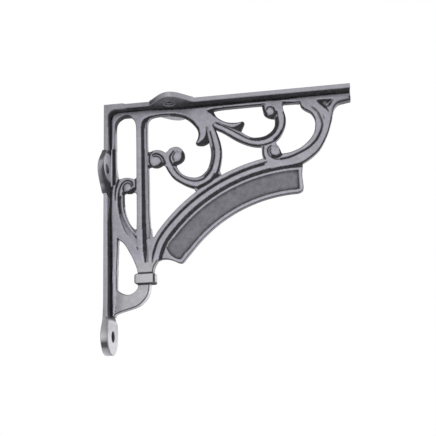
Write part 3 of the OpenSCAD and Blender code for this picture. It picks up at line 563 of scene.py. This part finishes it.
def carve_collar(relief):
    """The strap's ends are rounded"""
    gx, gy = relief.grid()
    low, high = (corner[0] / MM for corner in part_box("collar"))
    drop = quarter(gx - low, *COLLAR_LEFT) + quarter(high - gx, *COLLAR_RIGHT)
    for side in SIGNS:
        level, mask = relief.sides[side]
        relief.sides[side] = [level - SIGNS[side] * drop * mask, mask]


# Wear on the web by depth under the raised face: burnished on top, black in the recesses
PANEL_WEAR = ((0, 0.25, 0.5, 0.8), (0.92, 0.8, 0.55, 0.52))
STEM_WEAR = ((-0.7, 0, 0.35, 0.6, 0.85, 1.1), (1.06, 1.0, 0.9, 0.7, 0.3, 0.05))
WEB_WEAR = ((0, 0.35, 0.62, 0.85, 1.05), (0.88, 0.84, 0.78, 0.24, 0.02))
STEM_NODES = ("stem", "foot_elbow")
# The web is brighter out towards the wall and down towards the stem, and darker in painted shade
# under its nose
WALL_LIGHTENING = (14, 8)
STEM_LIGHTENING = (-136, -150)
NOSE_SHADE = (203, 214)


def face_level(name):
    """Half thickness of the raised face that a node's depths are measured from"""
    if name == "name_panel":
        return PANEL_FACE
    return STEM_FACE if name in STEM_NODES else FACE


def web_tone(name, side, points, level, wide, edge, facing):
    """Wear of the web by its depth and what stands beside it, with painted shade along its edges and
    under its nose
    """
    x, z = points[:, 0], points[:, 1]
    height, mean = SIGNS[side] * level, SIGNS[side] * wide
    depth = face_level(name) - height
    if name == "name_panel":
        tone = np.interp(depth, *PANEL_WEAR)
        tone -= 1.5 * np.clip(mean - height, 0, 1) * (depth > 0.3)
    elif name in STEM_NODES:
        tone = np.interp(FACE - height, *STEM_WEAR)
    else:
        tone = np.interp(depth, *WEB_WEAR)
        tone += 0.12 * smooth(*WALL_LIGHTENING, x) + 0.12 * smooth(*STEM_LIGHTENING, z)
    # Lighter on ridges, darker at the foot of a step
    tone += 0.22 * np.clip(height - mean, 0, 0.6)
    if name != "name_panel":
        tone -= 1.1 * np.clip(mean - height, 0, 0.6) * smooth(0.2, 0.5, depth)
    if name in STEM_NODES:
        # Black beside the collar, and painted shade along the right edge
        low, high = (corner[2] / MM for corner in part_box("collar"))
        seam = np.minimum(np.abs(z - high), np.abs(z - low))
        tone *= 0.05 + 0.95 * smooth(0.5, 1.7, seam)
        shade = 0.85 - 0.75 * smooth(-0.3, 0.3, facing[:, 0])
        tone *= shade + (1 - shade) * smooth(0.25, 0.95, edge)
    else:
        # Painted shade along the edges that face down and out
        shade = 0.80 - 0.62 * smooth(-0.2, 0.5, 0.5 * facing[:, 0] - 0.85 * facing[:, 1])
        tone *= shade + (1 - shade) * smooth(0.1, 0.7, edge)
    # Painted shade under the nose
    nose = smooth(*NOSE_SHADE, x) * (1 - smooth(0.6, 2.6, edge)) * (z < -9.0)
    tone *= 1 - 0.85 * nose
    return np.clip(tone, 0.02, 1.2)


def corner_tone(name, side, points, level, wide, edge, facing):
    """Even grey, a little lighter along the edges"""
    return 0.78 + 0.15 * (1 - smooth(0.1, 0.8, edge))


# Places on the plates: the foot's hole, a wall ear's lighter round and its hole darkened in painted
# shade, with their half widths, and a shelf ear's hole with the painted light and shade of the ring
# round it
FOOT_HOLE = (0, -212)
WALL_EAR_ROUND = ((8, -60), (17.5, 13.8))
WALL_EAR_HOLE = ((13, -62.7), (5.8, 4.6))
SHELF_EAR_HOLE = (63, 12.6)
SHELF_EAR_RING = ((3.9, 4.5, 5.2, 6.2), (0, 0.6, 0.7, 0))
# The wall plate's lighter strip starts this far from the web, by height, above and below the ears
STRIP_ABOVE = ((-46, -42, -34, -20), (14, 6.5, 9, 10.4))
STRIP_BELOW = ((-184, -112, -98, -89, -87), (10.5, 12.4, 8, 4.8, 14))
# Heights over which the foot's face brightens, and darkens in painted shade under the plate's end,
# and where the wall ears start and end, with painted shade deepening low on their rims
FOOT_LIGHTENING, FOOT_TOP_SHADE = (-222, -200), (-195.8, -198.5)
EAR_TOP, EAR_FOOT, EAR_SHADE = (-45, -48), (-88, -86), (-58, -66)


def ellipse(a, b, place, half):
    """Distance from a place in half widths"""
    return np.hypot((a - place[0]) / half[0], (b - place[1]) / half[1])


def foot_wear_and_shade(y, z, edge):
    """Bright face of the foot, with painted shade black in its hole and under the plate's end"""
    tone = 1.28 - 0.22 * smooth(*FOOT_LIGHTENING, z)
    # Painted shade: black in the hole and under the plate's end
    tone *= 0.03 + 0.97 * smooth(4.5, 5.3, np.hypot(y - FOOT_HOLE[0], z - FOOT_HOLE[1]))
    tone *= 0.2 + 0.8 * smooth(*FOOT_TOP_SHADE, z)
    return tone * (0.75 + 0.25 * smooth(0.1, 0.8, edge))


def wall_tone(name, side, points, level, wide, edge, facing):
    """Wear and painted shade of the wall plate, its ears and the foot"""
    y, z = np.abs(points[:, 0]), points[:, 1]
    rim = 1 - smooth(0.2, 0.9, edge)
    if side == "lo":
        return 0.55 + 0.3 * rim
    if name == "foot_pad":
        return foot_wear_and_shade(y, z, edge)
    lighter_round = 1 - smooth(0.88, 1.0, ellipse(y, z, *WALL_EAR_ROUND))
    tone = 0.10 + (1.02 + 0.40 * smooth(20.0, 6.0, y)) * lighter_round
    # Painted shade darkens the ear's hole
    tone = tone * smooth(0.85, 1.1, ellipse(y, z, *WALL_EAR_HOLE))
    ear = smooth(*EAR_TOP, z) * smooth(*EAR_FOOT, z)
    strip_edge = np.minimum(np.interp(z, *STRIP_ABOVE), np.interp(z, *STRIP_BELOW))
    strip = smooth(-0.8, 0.8, y - strip_edge) * (1 - ear)
    tone = np.maximum(tone, 0.95 * strip)
    # Lighter rims, darkened by painted shade low on the ears
    return np.maximum(tone, rim * (0.8 - 0.7 * ear * smooth(*EAR_SHADE, z)))


def shelf_tone(name, side, points, level, wide, edge, facing):
    """Wear and painted light and shade of the shelf plate and its ears, black underneath as painted
    shade
    """
    x, y = points[:, 0], np.abs(points[:, 1])
    rim = 1 - smooth(0.2, 0.9, edge)
    if side == "hi":
        return 0.55 + 0.3 * rim
    # Painted shade: black underneath
    tone = np.full(len(points), 0.08)
    if name != "shelf_plate":
        hole = np.hypot(x - SHELF_EAR_HOLE[0], y - SHELF_EAR_HOLE[1])
        tone = 0.10 + 0.26 * smooth(10.0, 20.0, y) * smooth(46.0, 56.0, x)
        # Painted shade in the ear's hole and painted light on the ring round it
        ring = np.maximum(np.interp(hole, *SHELF_EAR_RING), tone * smooth(4.2, 5.2, hole))
        tone = np.where(hole < SHELF_EAR_RING[0][-1], ring, tone)
        # Painted highlight: the back ear's underside is bright
        if name == "shelf_ear_back":
            tone = np.maximum(tone, 1.1 * smooth(5.0, 5.6, hole))
    return np.maximum(tone, 0.75 * rim)


def collar_tone(name, side, points, level, wide, edge, facing):
    """Dark top and underside of the strap, lighter along their edges"""
    return 0.06 + 0.5 * (1 - smooth(0.0, 0.35, edge))


TONES = {
    "web": web_tone, "corner": corner_tone, "wall": wall_tone, "shelf": shelf_tone,
    "collar": collar_tone,
}
# How far through a wall its rows lie
WALL_ROWS = (0.0, 0.06, 0.13, 0.87, 0.94, 1.0)

# Painted light and shade along the outer walls: heights on the wall's side, distances out on the
# shelf's
FOOT_SIDE = ((-227, -223, -221, -218, -216, -213, -206, -199, -197),
             (1.3, 1, 0.22, 0.2, 1, 1.25, 0.9, 0.85, 0.92))
WALL_EAR_SIDE = ((-86, -83, -79, -77, -70, -62, -58, -56, -47, -43),
                 (0.45, 0.35, 1, 0.5, 0.8, 0.98, 0.88, 0.34, 0.18, 0.2))
WALL_PLATE_SIDE = ((-196, -185, -130, -90, -40, -22),
                   (0.74, 0.86, 0.96, 1.05, 0.85, 0.80))
SHELF_EAR_SIDE = ((44, 50, 54, 60, 65, 74, 86),
                  (0.22, 0.25, 0.60, 0.90, 0.98, 0.75, 0.85))
SHELF_PLATE_SIDE = ((22, 40, 60, 226), (0.75, 0.72, 0.88, 0.92))
# Nodes of the web whose walls stay black all round in painted shade
BLACK_WALLS = EYE_NODES + ("left_leaf", "right_leaf", "crown")
# The slot window's walls darken in painted shade under its top, within this distance out from the
# wall
HOOD_REACH = 24
HOOD_TOP = (-27, -19)


def both_rims(rim, near, middle):
    """Wear of a wall's rows, alike at both rims"""
    return rim, near, middle, middle, near, rim


def web_wall_tones(name, normals, points):
    """Walls of the web in painted light and shade: light where they face out from the wall or down,
    dark at their rims
    """
    dark = np.full(len(points), 0.08)
    if name in BLACK_WALLS:
        return (dark,) * len(WALL_ROWS)
    light = 0.22 + 0.70 * smooth(0.2, 0.9, normals[:, 0]) + 0.25 * smooth(0.4, 0.9, -normals[:, 1])
    if name == "foot_elbow":
        light = light + 0.5
    hood = (points[:, 0] < HOOD_REACH) & (points[:, 1] > HOOD_TOP[0] - 3)
    light = light * np.where(hood, 1 - 0.85 * smooth(*HOOD_TOP, points[:, 1]), 1.0)
    return both_rims(dark, (dark + light) / 2, light)


def plate_wall_tones(layer_name, name, points):
    """Painted light and shade on the walls of the plates, the ears and the foot, by the place along
    them
    """
    if name == "foot_pad":
        tone = np.interp(points[:, 1], *FOOT_SIDE)
        return tone * 0.45, tone * 0.7, tone * 0.85, tone, tone, tone
    if name.startswith("wall_ear"):
        tone = np.interp(points[:, 1], *WALL_EAR_SIDE)
        low = smooth(-60.0, -68.0, points[:, 1]) * smooth(-88.0, -84.0, points[:, 1])
        return (tone * (0.9 - 0.8 * low), tone * (1 - 0.85 * low), tone * (1 - 0.6 * low),
                tone, tone, tone * 0.9)
    if name.startswith("shelf_ear"):
        tone = np.interp(points[:, 0], *SHELF_EAR_SIDE)
    elif layer_name == "wall":
        tone = np.interp(points[:, 1], *WALL_PLATE_SIDE)
    else:
        tone = np.interp(points[:, 0], *SHELF_PLATE_SIDE)
    return both_rims(tone * 0.9, tone, tone)


def wall_tones(layer_name, name, is_hole, normals, points):
    """Painted light and shade on the walls that run through a layer, row by row"""
    out, up = normals[:, 0], normals[:, 1]
    if layer_name == "web":
        return web_wall_tones(name, normals, points)
    # Painted shade: the walls of holes are black
    if is_hole:
        return (np.zeros(len(points)),) * len(WALL_ROWS)
    if layer_name == "corner":
        # Black inside the bend, grey outside it
        within = out - up > 0.2
        return both_rims(np.full(len(points), 0.8), np.where(within, 0.6, 0.78),
                         np.where(within, 0.10, 0.78))
    if layer_name == "collar":
        # Light all round but for painted shade on the corner between its face and its right end
        return (np.where((out > 0.25) & (out < 0.93), 0.12, 1.12),) * len(WALL_ROWS)
    return plate_wall_tones(layer_name, name, points)


def rounding(edge, radius):
    """How far a rounded edge drops at a distance inside the outline"""
    inner = np.clip(radius - edge, 0, radius)
    return radius - np.sqrt(np.maximum(radius ** 2 - inner ** 2, 0))


class Rim:
    """One outline of a node, with its outward normals and where no other metal adjoins it"""

    def __init__(self, loop, layer, solids):
        self.points, self.normals = spread(loop, STEP)
        low, high = layer["reach"]
        aim = along_axis(layer["axis"], 1.0)
        starts = [at_level(layer["axis"], low, p + n * JUST_OUTSIDE)
                  for p, n in zip(self.points, self.normals)]
        self.free = np.array([solids.ray_cast(at, aim, high - low)[0] is None for at in starts])

    def free_stretches(self):
        """Close points along the free stretches, and the normals there"""
        joined = self.free & np.roll(self.free, -1)
        nexts = np.roll(self.points, -1, axis=0)
        shares = [k / FREE_PARTS for k in range(FREE_PARTS)]
        points = [(self.points * (1 - share) + nexts * share)[joined] for share in shares]
        normals = [self.normals[joined]] * FREE_PARTS
        return points + [self.points[self.free]], normals + [self.normals[self.free]]


def inner_points(rims, loops, radius, free_tree):
    """Points within a node: rings along its free edges, and an even grid between them"""
    rim_tree = tree_of(np.concatenate([spread(loop, CLOSE_STEP)[0] for loop in loops]))
    parts = []
    for rim in rims:
        for share in RING_SHARES:
            depth = share * radius
            ring = rim.points[rim.free] - rim.normals[rim.free] * depth
            if len(ring):
                parts.append(ring[distances(ring, rim_tree) > depth * RING_SLACK])
    rim_points = np.concatenate([rim.points for rim in rims])
    low, high = rim_points.min(axis=0), rim_points.max(axis=0)
    grid = []
    for row in range(int((high[1] - low[1]) / (STEP * ROW_SHARE)) + 1):
        xs = np.arange(low[0] + (STEP / 2 if row % 2 else 0), high[0], STEP)
        grid.append(np.stack([xs, np.full(len(xs), low[1] + row * STEP * ROW_SHARE)], axis=1))
    grid = np.concatenate(grid)
    grid = grid[inside(grid, loops)]
    if len(grid):
        grid = grid[distances(grid, rim_tree) > STEP * RIM_GAP]
        grid = grid[distances(grid, free_tree) > radius * RING_GAP]
    parts.append(grid)
    found = np.concatenate(parts)
    return found[inside(found, loops)] if len(found) else found


def triangulate(rims, extra, loops):
    """A node's points, its triangles, and the point that each rim point became"""
    points = np.concatenate([rim.points for rim in rims] + [extra])
    edges, start = [], 0
    for rim in rims:
        count = len(rim.points)
        edges += [(start + i, start + (i + 1) % count) for i in range(count)]
        start += count
    out = delaunay_2d_cdt([Vector(p) for p in points], edges, [], WITHIN, ON_PLANE)
    flat = np.array([tuple(v) for v in out[0]])
    tris = np.array(out[2])
    tris = tris[inside(flat[tris].mean(axis=1), loops)]
    became = {source: k for k, sources in enumerate(out[3]) for source in sources}
    return flat, tris, became


class Skin:
    """A node's mesh while it is put together: vertices, faces and the wear and painted light and
    shade at each face's corners
    """

    def __init__(self):
        self.verts, self.faces, self.wear_and_shade = [], [], []

    def add_sheet(self, place, tris, tones):
        """One side of the node"""
        base = sum(len(v) for v in self.verts)
        self.verts.append(place)
        self.faces += [tuple(int(v) + base for v in t) for t in tris]
        self.wear_and_shade.append(tones[tris].ravel())

    def add_wall(self, index, row_tones, turned):
        """Rows of faces that join the two sheets along one outline"""
        front, back = self.verts[0], self.verts[1]
        rows = [index]
        for share in WALL_ROWS[1:-1]:
            base = sum(len(v) for v in self.verts)
            self.verts.append(front[index] * (1 - share) + back[index] * share)
            rows.append(np.arange(base, base + len(index)))
        rows.append(index + len(front))
        for i in range(len(index)):
            j = (i + 1) % len(index)
            if index[i] == index[j]:
                continue
            for upper in range(len(rows) - 1):
                corners = ((upper + 1, i), (upper + 1, j), (upper, j), (upper, i))
                if turned:
                    corners = corners[::-1]
                self.faces.append(tuple(int(rows[row][at]) for row, at in corners))
                self.wear_and_shade.append(np.array([row_tones[row][at] for row, at in corners]))

    def mesh(self, name):
        """The finished mesh, smooth but for its sharp edges"""
        mesh = bpy.data.meshes.new(name + "_cast")
        mesh.from_pydata((np.concatenate(self.verts) * MM).tolist(), [], self.faces)
        # Wear together with painted light and shade, kept at each face's corner
        wear_and_shade = mesh.attributes.new("wear_and_shade", "FLOAT", "CORNER")
        wear_and_shade.data.foreach_set("value", np.concatenate(self.wear_and_shade).astype(np.float32))
        mesh.shade_smooth()
        mesh.set_sharp_from_angle(angle=math.radians(SHARP_DEGREES))
        mesh.update()
        return mesh


def sheet(layer_name, name, side, relief, flat, edge, facing):
    """Places, and wear with painted light and shade, of a node's points on one side of its layer"""
    layer = LAYERS[layer_name]
    a, b = PLANE_AXES[layer["axis"]]
    fine, sharp, wide = (relief.read(field, flat) for field in relief.sides[side])
    place = np.zeros((len(flat), 3))
    place[:, a], place[:, b] = flat[:, 0], flat[:, 1]
    place[:, layer["axis"]] = fine - SIGNS[side] * rounding(edge, layer["round"])
    box = np.array(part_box(name)) / MM
    tones = TONES[layer_name](name, side, flat, sharp, wide, edge, facing)
    tones *= 1 - BLACKENING * relief.read(relief.black, flat)
    tones += MOTTLING * relief.read(relief.mottle, flat)
    return np.clip(place, box[0], box[1]), tones


def build_node(layer_name, name, rims, loops, relief, free_tree, free_normals):
    """Mesh of one node: two sheets from the relief, and the walls between them"""
    layer = LAYERS[layer_name]
    extra = inner_points(rims, loops, layer["round"], free_tree)
    flat, tris, became = triangulate(rims, extra, loops)
    near = [free_tree.find((p[0], p[1], 0.0)) for p in flat]
    edge = np.array([found[2] for found in near])
    facing = free_normals[[found[1] for found in near]]
    turned = layer["axis"] == 1
    skin = Skin()
    for side in SIGNS:
        place, tones = sheet(layer_name, name, side, relief, flat, edge, facing)
        outward = (SIGNS[side] > 0) != turned
        skin.add_sheet(place, tris if outward else tris[:, ::-1], tones)
    start = 0
    for k, rim in enumerate(rims):
        index = np.array([became[start + i] for i in range(len(rim.points))])
        start += len(rim.points)
        skin.add_wall(index, wall_tones(layer_name, name, k > 0, rim.normals, rim.points), turned)
    return skin.mesh(name)


CARVERS = {"web": carve_web, "wall": carve_wall, "collar": carve_collar}


def build_layer(layer_name, solids, materials):
    """Every node of a layer, dressed, hung under the root body, with the part it replaces hidden"""
    layer = LAYERS[layer_name]
    relief = Relief(layer)
    if layer_name in CARVERS:
        CARVERS[layer_name](relief)
    relief.finish(layer["soften"])
    loops_of = {name: outlines(name, layer["axis"], layer["cut"]) for name in layer["nodes"]}
    rims_of = {name: [Rim(loop, layer, solids) for loop in loops_of[name]] for name in loops_of}
    stretches = [rim.free_stretches() for rims in rims_of.values() for rim in rims]
    free_tree = tree_of(np.concatenate([part for points, _ in stretches for part in points]))
    free_normals = np.concatenate([part for _, normals in stretches for part in normals])
    rest_slot = "web_iron" if layer_name == "web" else "plate_iron"
    for name in layer["nodes"]:
        mesh = build_node(layer_name, name, rims_of[name], loops_of[name], relief, free_tree,
                          free_normals)
        obj = bpy.data.objects.new(name + "_cast", mesh)
        bpy.context.scene.collection.objects.link(obj)
        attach(obj, "root")
        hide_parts(name)
        slot = "foot_iron" if name in FOOT_NODES else rest_slot
        mesh.materials.append(materials[slot])


# Noises in the iron: scale, detail and roughness, and how far each shifts the wear and painted shade
GRAIN, CLOUD, PATCH = (1500, 6, 0.6), (75, 4, 0.55), (260, 5, 0.55)
GRAIN_SHIFT, CLOUD_SHIFT, PATCH_SHIFT = 0.45, 0.30, 0.55
SHIFT_SHARE = 0.5
# Wear and painted shade at which the iron is as bright as it gets, and its grey by share of that
# value
BRIGHTEST = 1.6
GREYS = ((0.00, 0.016), (0.06, 0.032), (0.19, 0.080), (0.31, 0.140), (0.44, 0.200), (0.56, 0.255),
         (0.69, 0.325), (1.00, 0.620))
# How metallic and how rough the iron is over a range of that share: where from, and what
METALLIC = ((0.05, 0.40), (0.0, 0.75))
ROUGHNESS = ((0.0, 0.7), (0.72, 0.42))
PATCHY_ROUGHNESS = 0.22
BUMP_STRENGTH, BUMP_DISTANCE = 0.35, 0.00025


def iron(name, tint):
    """Cast iron coloured from the wear and painted light and shade: black in the recesses, grey and
    burnished on what stands proud
    """
    mat = bpy.data.materials.new(name)
    mat.use_nodes = True
    nodes, links = mat.node_tree.nodes, mat.node_tree.links
    nodes.clear()
    out = nodes.new("ShaderNodeOutputMaterial")
    shader = nodes.new("ShaderNodeBsdfPrincipled")
    links.new(shader.outputs[0], out.inputs[0])
    shader.inputs["Specular IOR Level"].default_value = 0.2
    coords = nodes.new("ShaderNodeTexCoord")

    def noise(scale, detail, rough):
        node = nodes.new("ShaderNodeTexNoise")
        node.inputs["Scale"].default_value = scale
        node.inputs["Detail"].default_value = detail
        node.inputs["Roughness"].default_value = rough
        links.new(coords.outputs["Object"], node.inputs["Vector"])
        return node.outputs["Fac"]

    def math_node(kind, x, y, clamp=False):
        node = nodes.new("ShaderNodeMath")
        node.operation = kind
        node.use_clamp = clamp
        for socket, value in zip(node.inputs, (x, y)):
            if isinstance(value, (int, float)):
                socket.default_value = value
            else:
                links.new(value, socket)
        return node.outputs[0]

    def swing(source, amount):
        return math_node("MULTIPLY", math_node("SUBTRACT", source, 0.5), amount)

    def span(source, given, wanted):
        node = nodes.new("ShaderNodeMapRange")
        node.inputs["From Min"].default_value, node.inputs["From Max"].default_value = given
        node.inputs["To Min"].default_value, node.inputs["To Max"].default_value = wanted
        links.new(source, node.inputs["Value"])
        return node.outputs["Result"]

    # Wear together with painted light and shade, read from the mesh
    wear_and_shade = nodes.new("ShaderNodeAttribute")
    wear_and_shade.attribute_name = "wear_and_shade"
    grain, cloud, patch = noise(*GRAIN), noise(*CLOUD), noise(*PATCH)
    shift = math_node("ADD", swing(patch, PATCH_SHIFT), swing(cloud, CLOUD_SHIFT))
    shift = math_node("ADD", shift, swing(grain, GRAIN_SHIFT))
    level = math_node("ADD", wear_and_shade.outputs["Fac"], math_node("MULTIPLY", shift, SHIFT_SHARE))
    level = math_node("MULTIPLY", level, 1 / BRIGHTEST, clamp=True)
    ramp = nodes.new("ShaderNodeValToRGB")
    elements = ramp.color_ramp.elements
    while len(elements) < len(GREYS):
        elements.new(0.5)
    for element, (place, grey) in zip(elements, GREYS):
        element.position = place
        element.color = tuple(grey * t for t in tint) + (1.0,)
    links.new(level, ramp.inputs["Fac"])
    links.new(ramp.outputs["Color"], shader.inputs["Base Color"])
    links.new(span(level, *METALLIC), shader.inputs["Metallic"])
    roughness = math_node("ADD", span(level, *ROUGHNESS), swing(patch, PATCHY_ROUGHNESS))
    links.new(roughness, shader.inputs["Roughness"])
    bump = nodes.new("ShaderNodeBump")
    bump.inputs["Strength"].default_value = BUMP_STRENGTH
    bump.inputs["Distance"].default_value = BUMP_DISTANCE
    links.new(math_node("ADD", math_node("MULTIPLY", grain, 0.5), patch), bump.inputs["Height"])
    links.new(bump.outputs["Normal"], shader.inputs["Normal"])
    return mat


def plain(name, colour, rough):
    """Matt material with faint clouds"""
    mat = bpy.data.materials.new(name)
    mat.use_nodes = True
    nodes, links = mat.node_tree.nodes, mat.node_tree.links
    shader = nodes["Principled BSDF"]
    texture = nodes.new("ShaderNodeTexNoise")
    texture.inputs["Scale"].default_value = 3.0
    ramp = nodes.new("ShaderNodeValToRGB")
    ramp.color_ramp.elements[0].color = tuple(c * 0.985 for c in colour) + (1.0,)
    ramp.color_ramp.elements[1].color = tuple(colour) + (1.0,)
    links.new(texture.outputs["Fac"], ramp.inputs["Fac"])
    links.new(ramp.outputs["Color"], shader.inputs["Base Color"])
    shader.inputs["Roughness"].default_value = rough
    return mat


# Round floor well below the bracket, in metres
FLOOR_PLACE = (0.1, 0.0, -0.75)
FLOOR_RADIUS, FLOOR_SIDES = 9.0, 96


def add_floor():
    """Pale floor"""
    mesh = bpy.data.meshes.new("floor")
    bm = bmesh.new()
    bmesh.ops.create_circle(bm, cap_ends=True, segments=FLOOR_SIDES, radius=FLOOR_RADIUS,
                            matrix=Matrix.Translation(FLOOR_PLACE))
    bm.to_mesh(mesh)
    bm.free()
    floor = bpy.data.objects.new("floor", mesh)
    floor.data.materials.append(plain("pale_floor", (0.88, 0.88, 0.89), 0.9))
    bpy.context.scene.collection.objects.link(floor)


# The photograph's camera, solved from the bracket's edges and holes: turn, pitch and roll in
# degrees, place in millimetres, focal length and width of the frame in pixels
CAMERA_TURN = (8.011, 14.241, -2.030)
CAMERA_PLACE = (190.965, -628.600, -273.132)
FOCAL_PX, FRAME_PX = 740.2, 436
SENSOR = 36.0


def add_camera():
    """Camera that sees the bracket as the photograph does"""
    turn, pitch, roll = (math.radians(angle) for angle in CAMERA_TURN)
    ahead = Vector((-math.sin(turn) * math.cos(pitch), math.cos(turn) * math.cos(pitch),
                    math.sin(pitch)))
    level_right = Vector((math.cos(turn), math.sin(turn), 0))
    level_up = level_right.cross(ahead)
    right = level_right * math.cos(roll) + level_up * math.sin(roll)
    up = -level_right * math.sin(roll) + level_up * math.cos(roll)
    data = bpy.data.cameras.new("camera")
    data.sensor_fit = "HORIZONTAL"
    data.sensor_width = SENSOR
    data.lens = FOCAL_PX / FRAME_PX * SENSOR
    data.clip_start, data.clip_end = 0.01, 60.0
    camera = bpy.data.objects.new("camera", data)
    turned = Matrix((right, up, -ahead)).transposed().to_4x4()
    camera.matrix_world = Matrix.Translation(Vector(CAMERA_PLACE) * MM) @ turned
    bpy.context.scene.collection.objects.link(camera)
    bpy.context.scene.camera = camera


# Soft lights round the bracket: name, place and size in metres, power in watts
LIGHTS_AIM = (0.10, 0.0, -0.11)
LIGHTS = (
    ("front_softbox", (0.05, -1.5, 0.15), (1.0, 1.2), 5.0),
    ("right_softbox", (1.5, -0.5, 0.2), (0.9, 1.2), 6.0),
    ("back_softbox", (0.2, 1.5, 0.3), (1.0, 1.2), 5.0),
    ("top_softbox", (0.1, 0.1, 1.5), (1.2, 1.2), 4.0),
)


def add_light(name, place, size, power):
    """Rectangular light aimed at the bracket"""
    data = bpy.data.lights.new(name, "AREA")
    data.shape = "RECTANGLE"
    data.size, data.size_y = size
    data.energy = power
    light = bpy.data.objects.new(name, data)
    light.location = place
    aim = Vector(LIGHTS_AIM) - Vector(place)
    light.rotation_euler = aim.to_track_quat("-Z", "Y").to_euler()
    bpy.context.scene.collection.objects.link(light)


def add_world():
    """White surroundings"""
    world = bpy.data.worlds.new("studio")
    world.use_nodes = True
    background = world.node_tree.nodes["Background"]
    background.inputs["Color"].default_value = (1.0, 1.0, 1.0, 1.0)
    background.inputs["Strength"].default_value = 1.0
    bpy.context.scene.world = world


materials = {
    "web_iron": iron("web_iron", (0.995, 0.965, 1.085)),
    "plate_iron": iron("plate_iron", (0.985, 0.965, 1.07)),
    "foot_iron": iron("foot_iron", (1.0, 0.985, 1.05)),
}
solids = node_tree(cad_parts)
for layer_name in LAYERS:
    build_layer(layer_name, solids, materials)
add_floor()
add_camera()
for light in LIGHTS:
    add_light(*light)
add_world()
bpy.context.scene.view_settings.view_transform = "Standard"
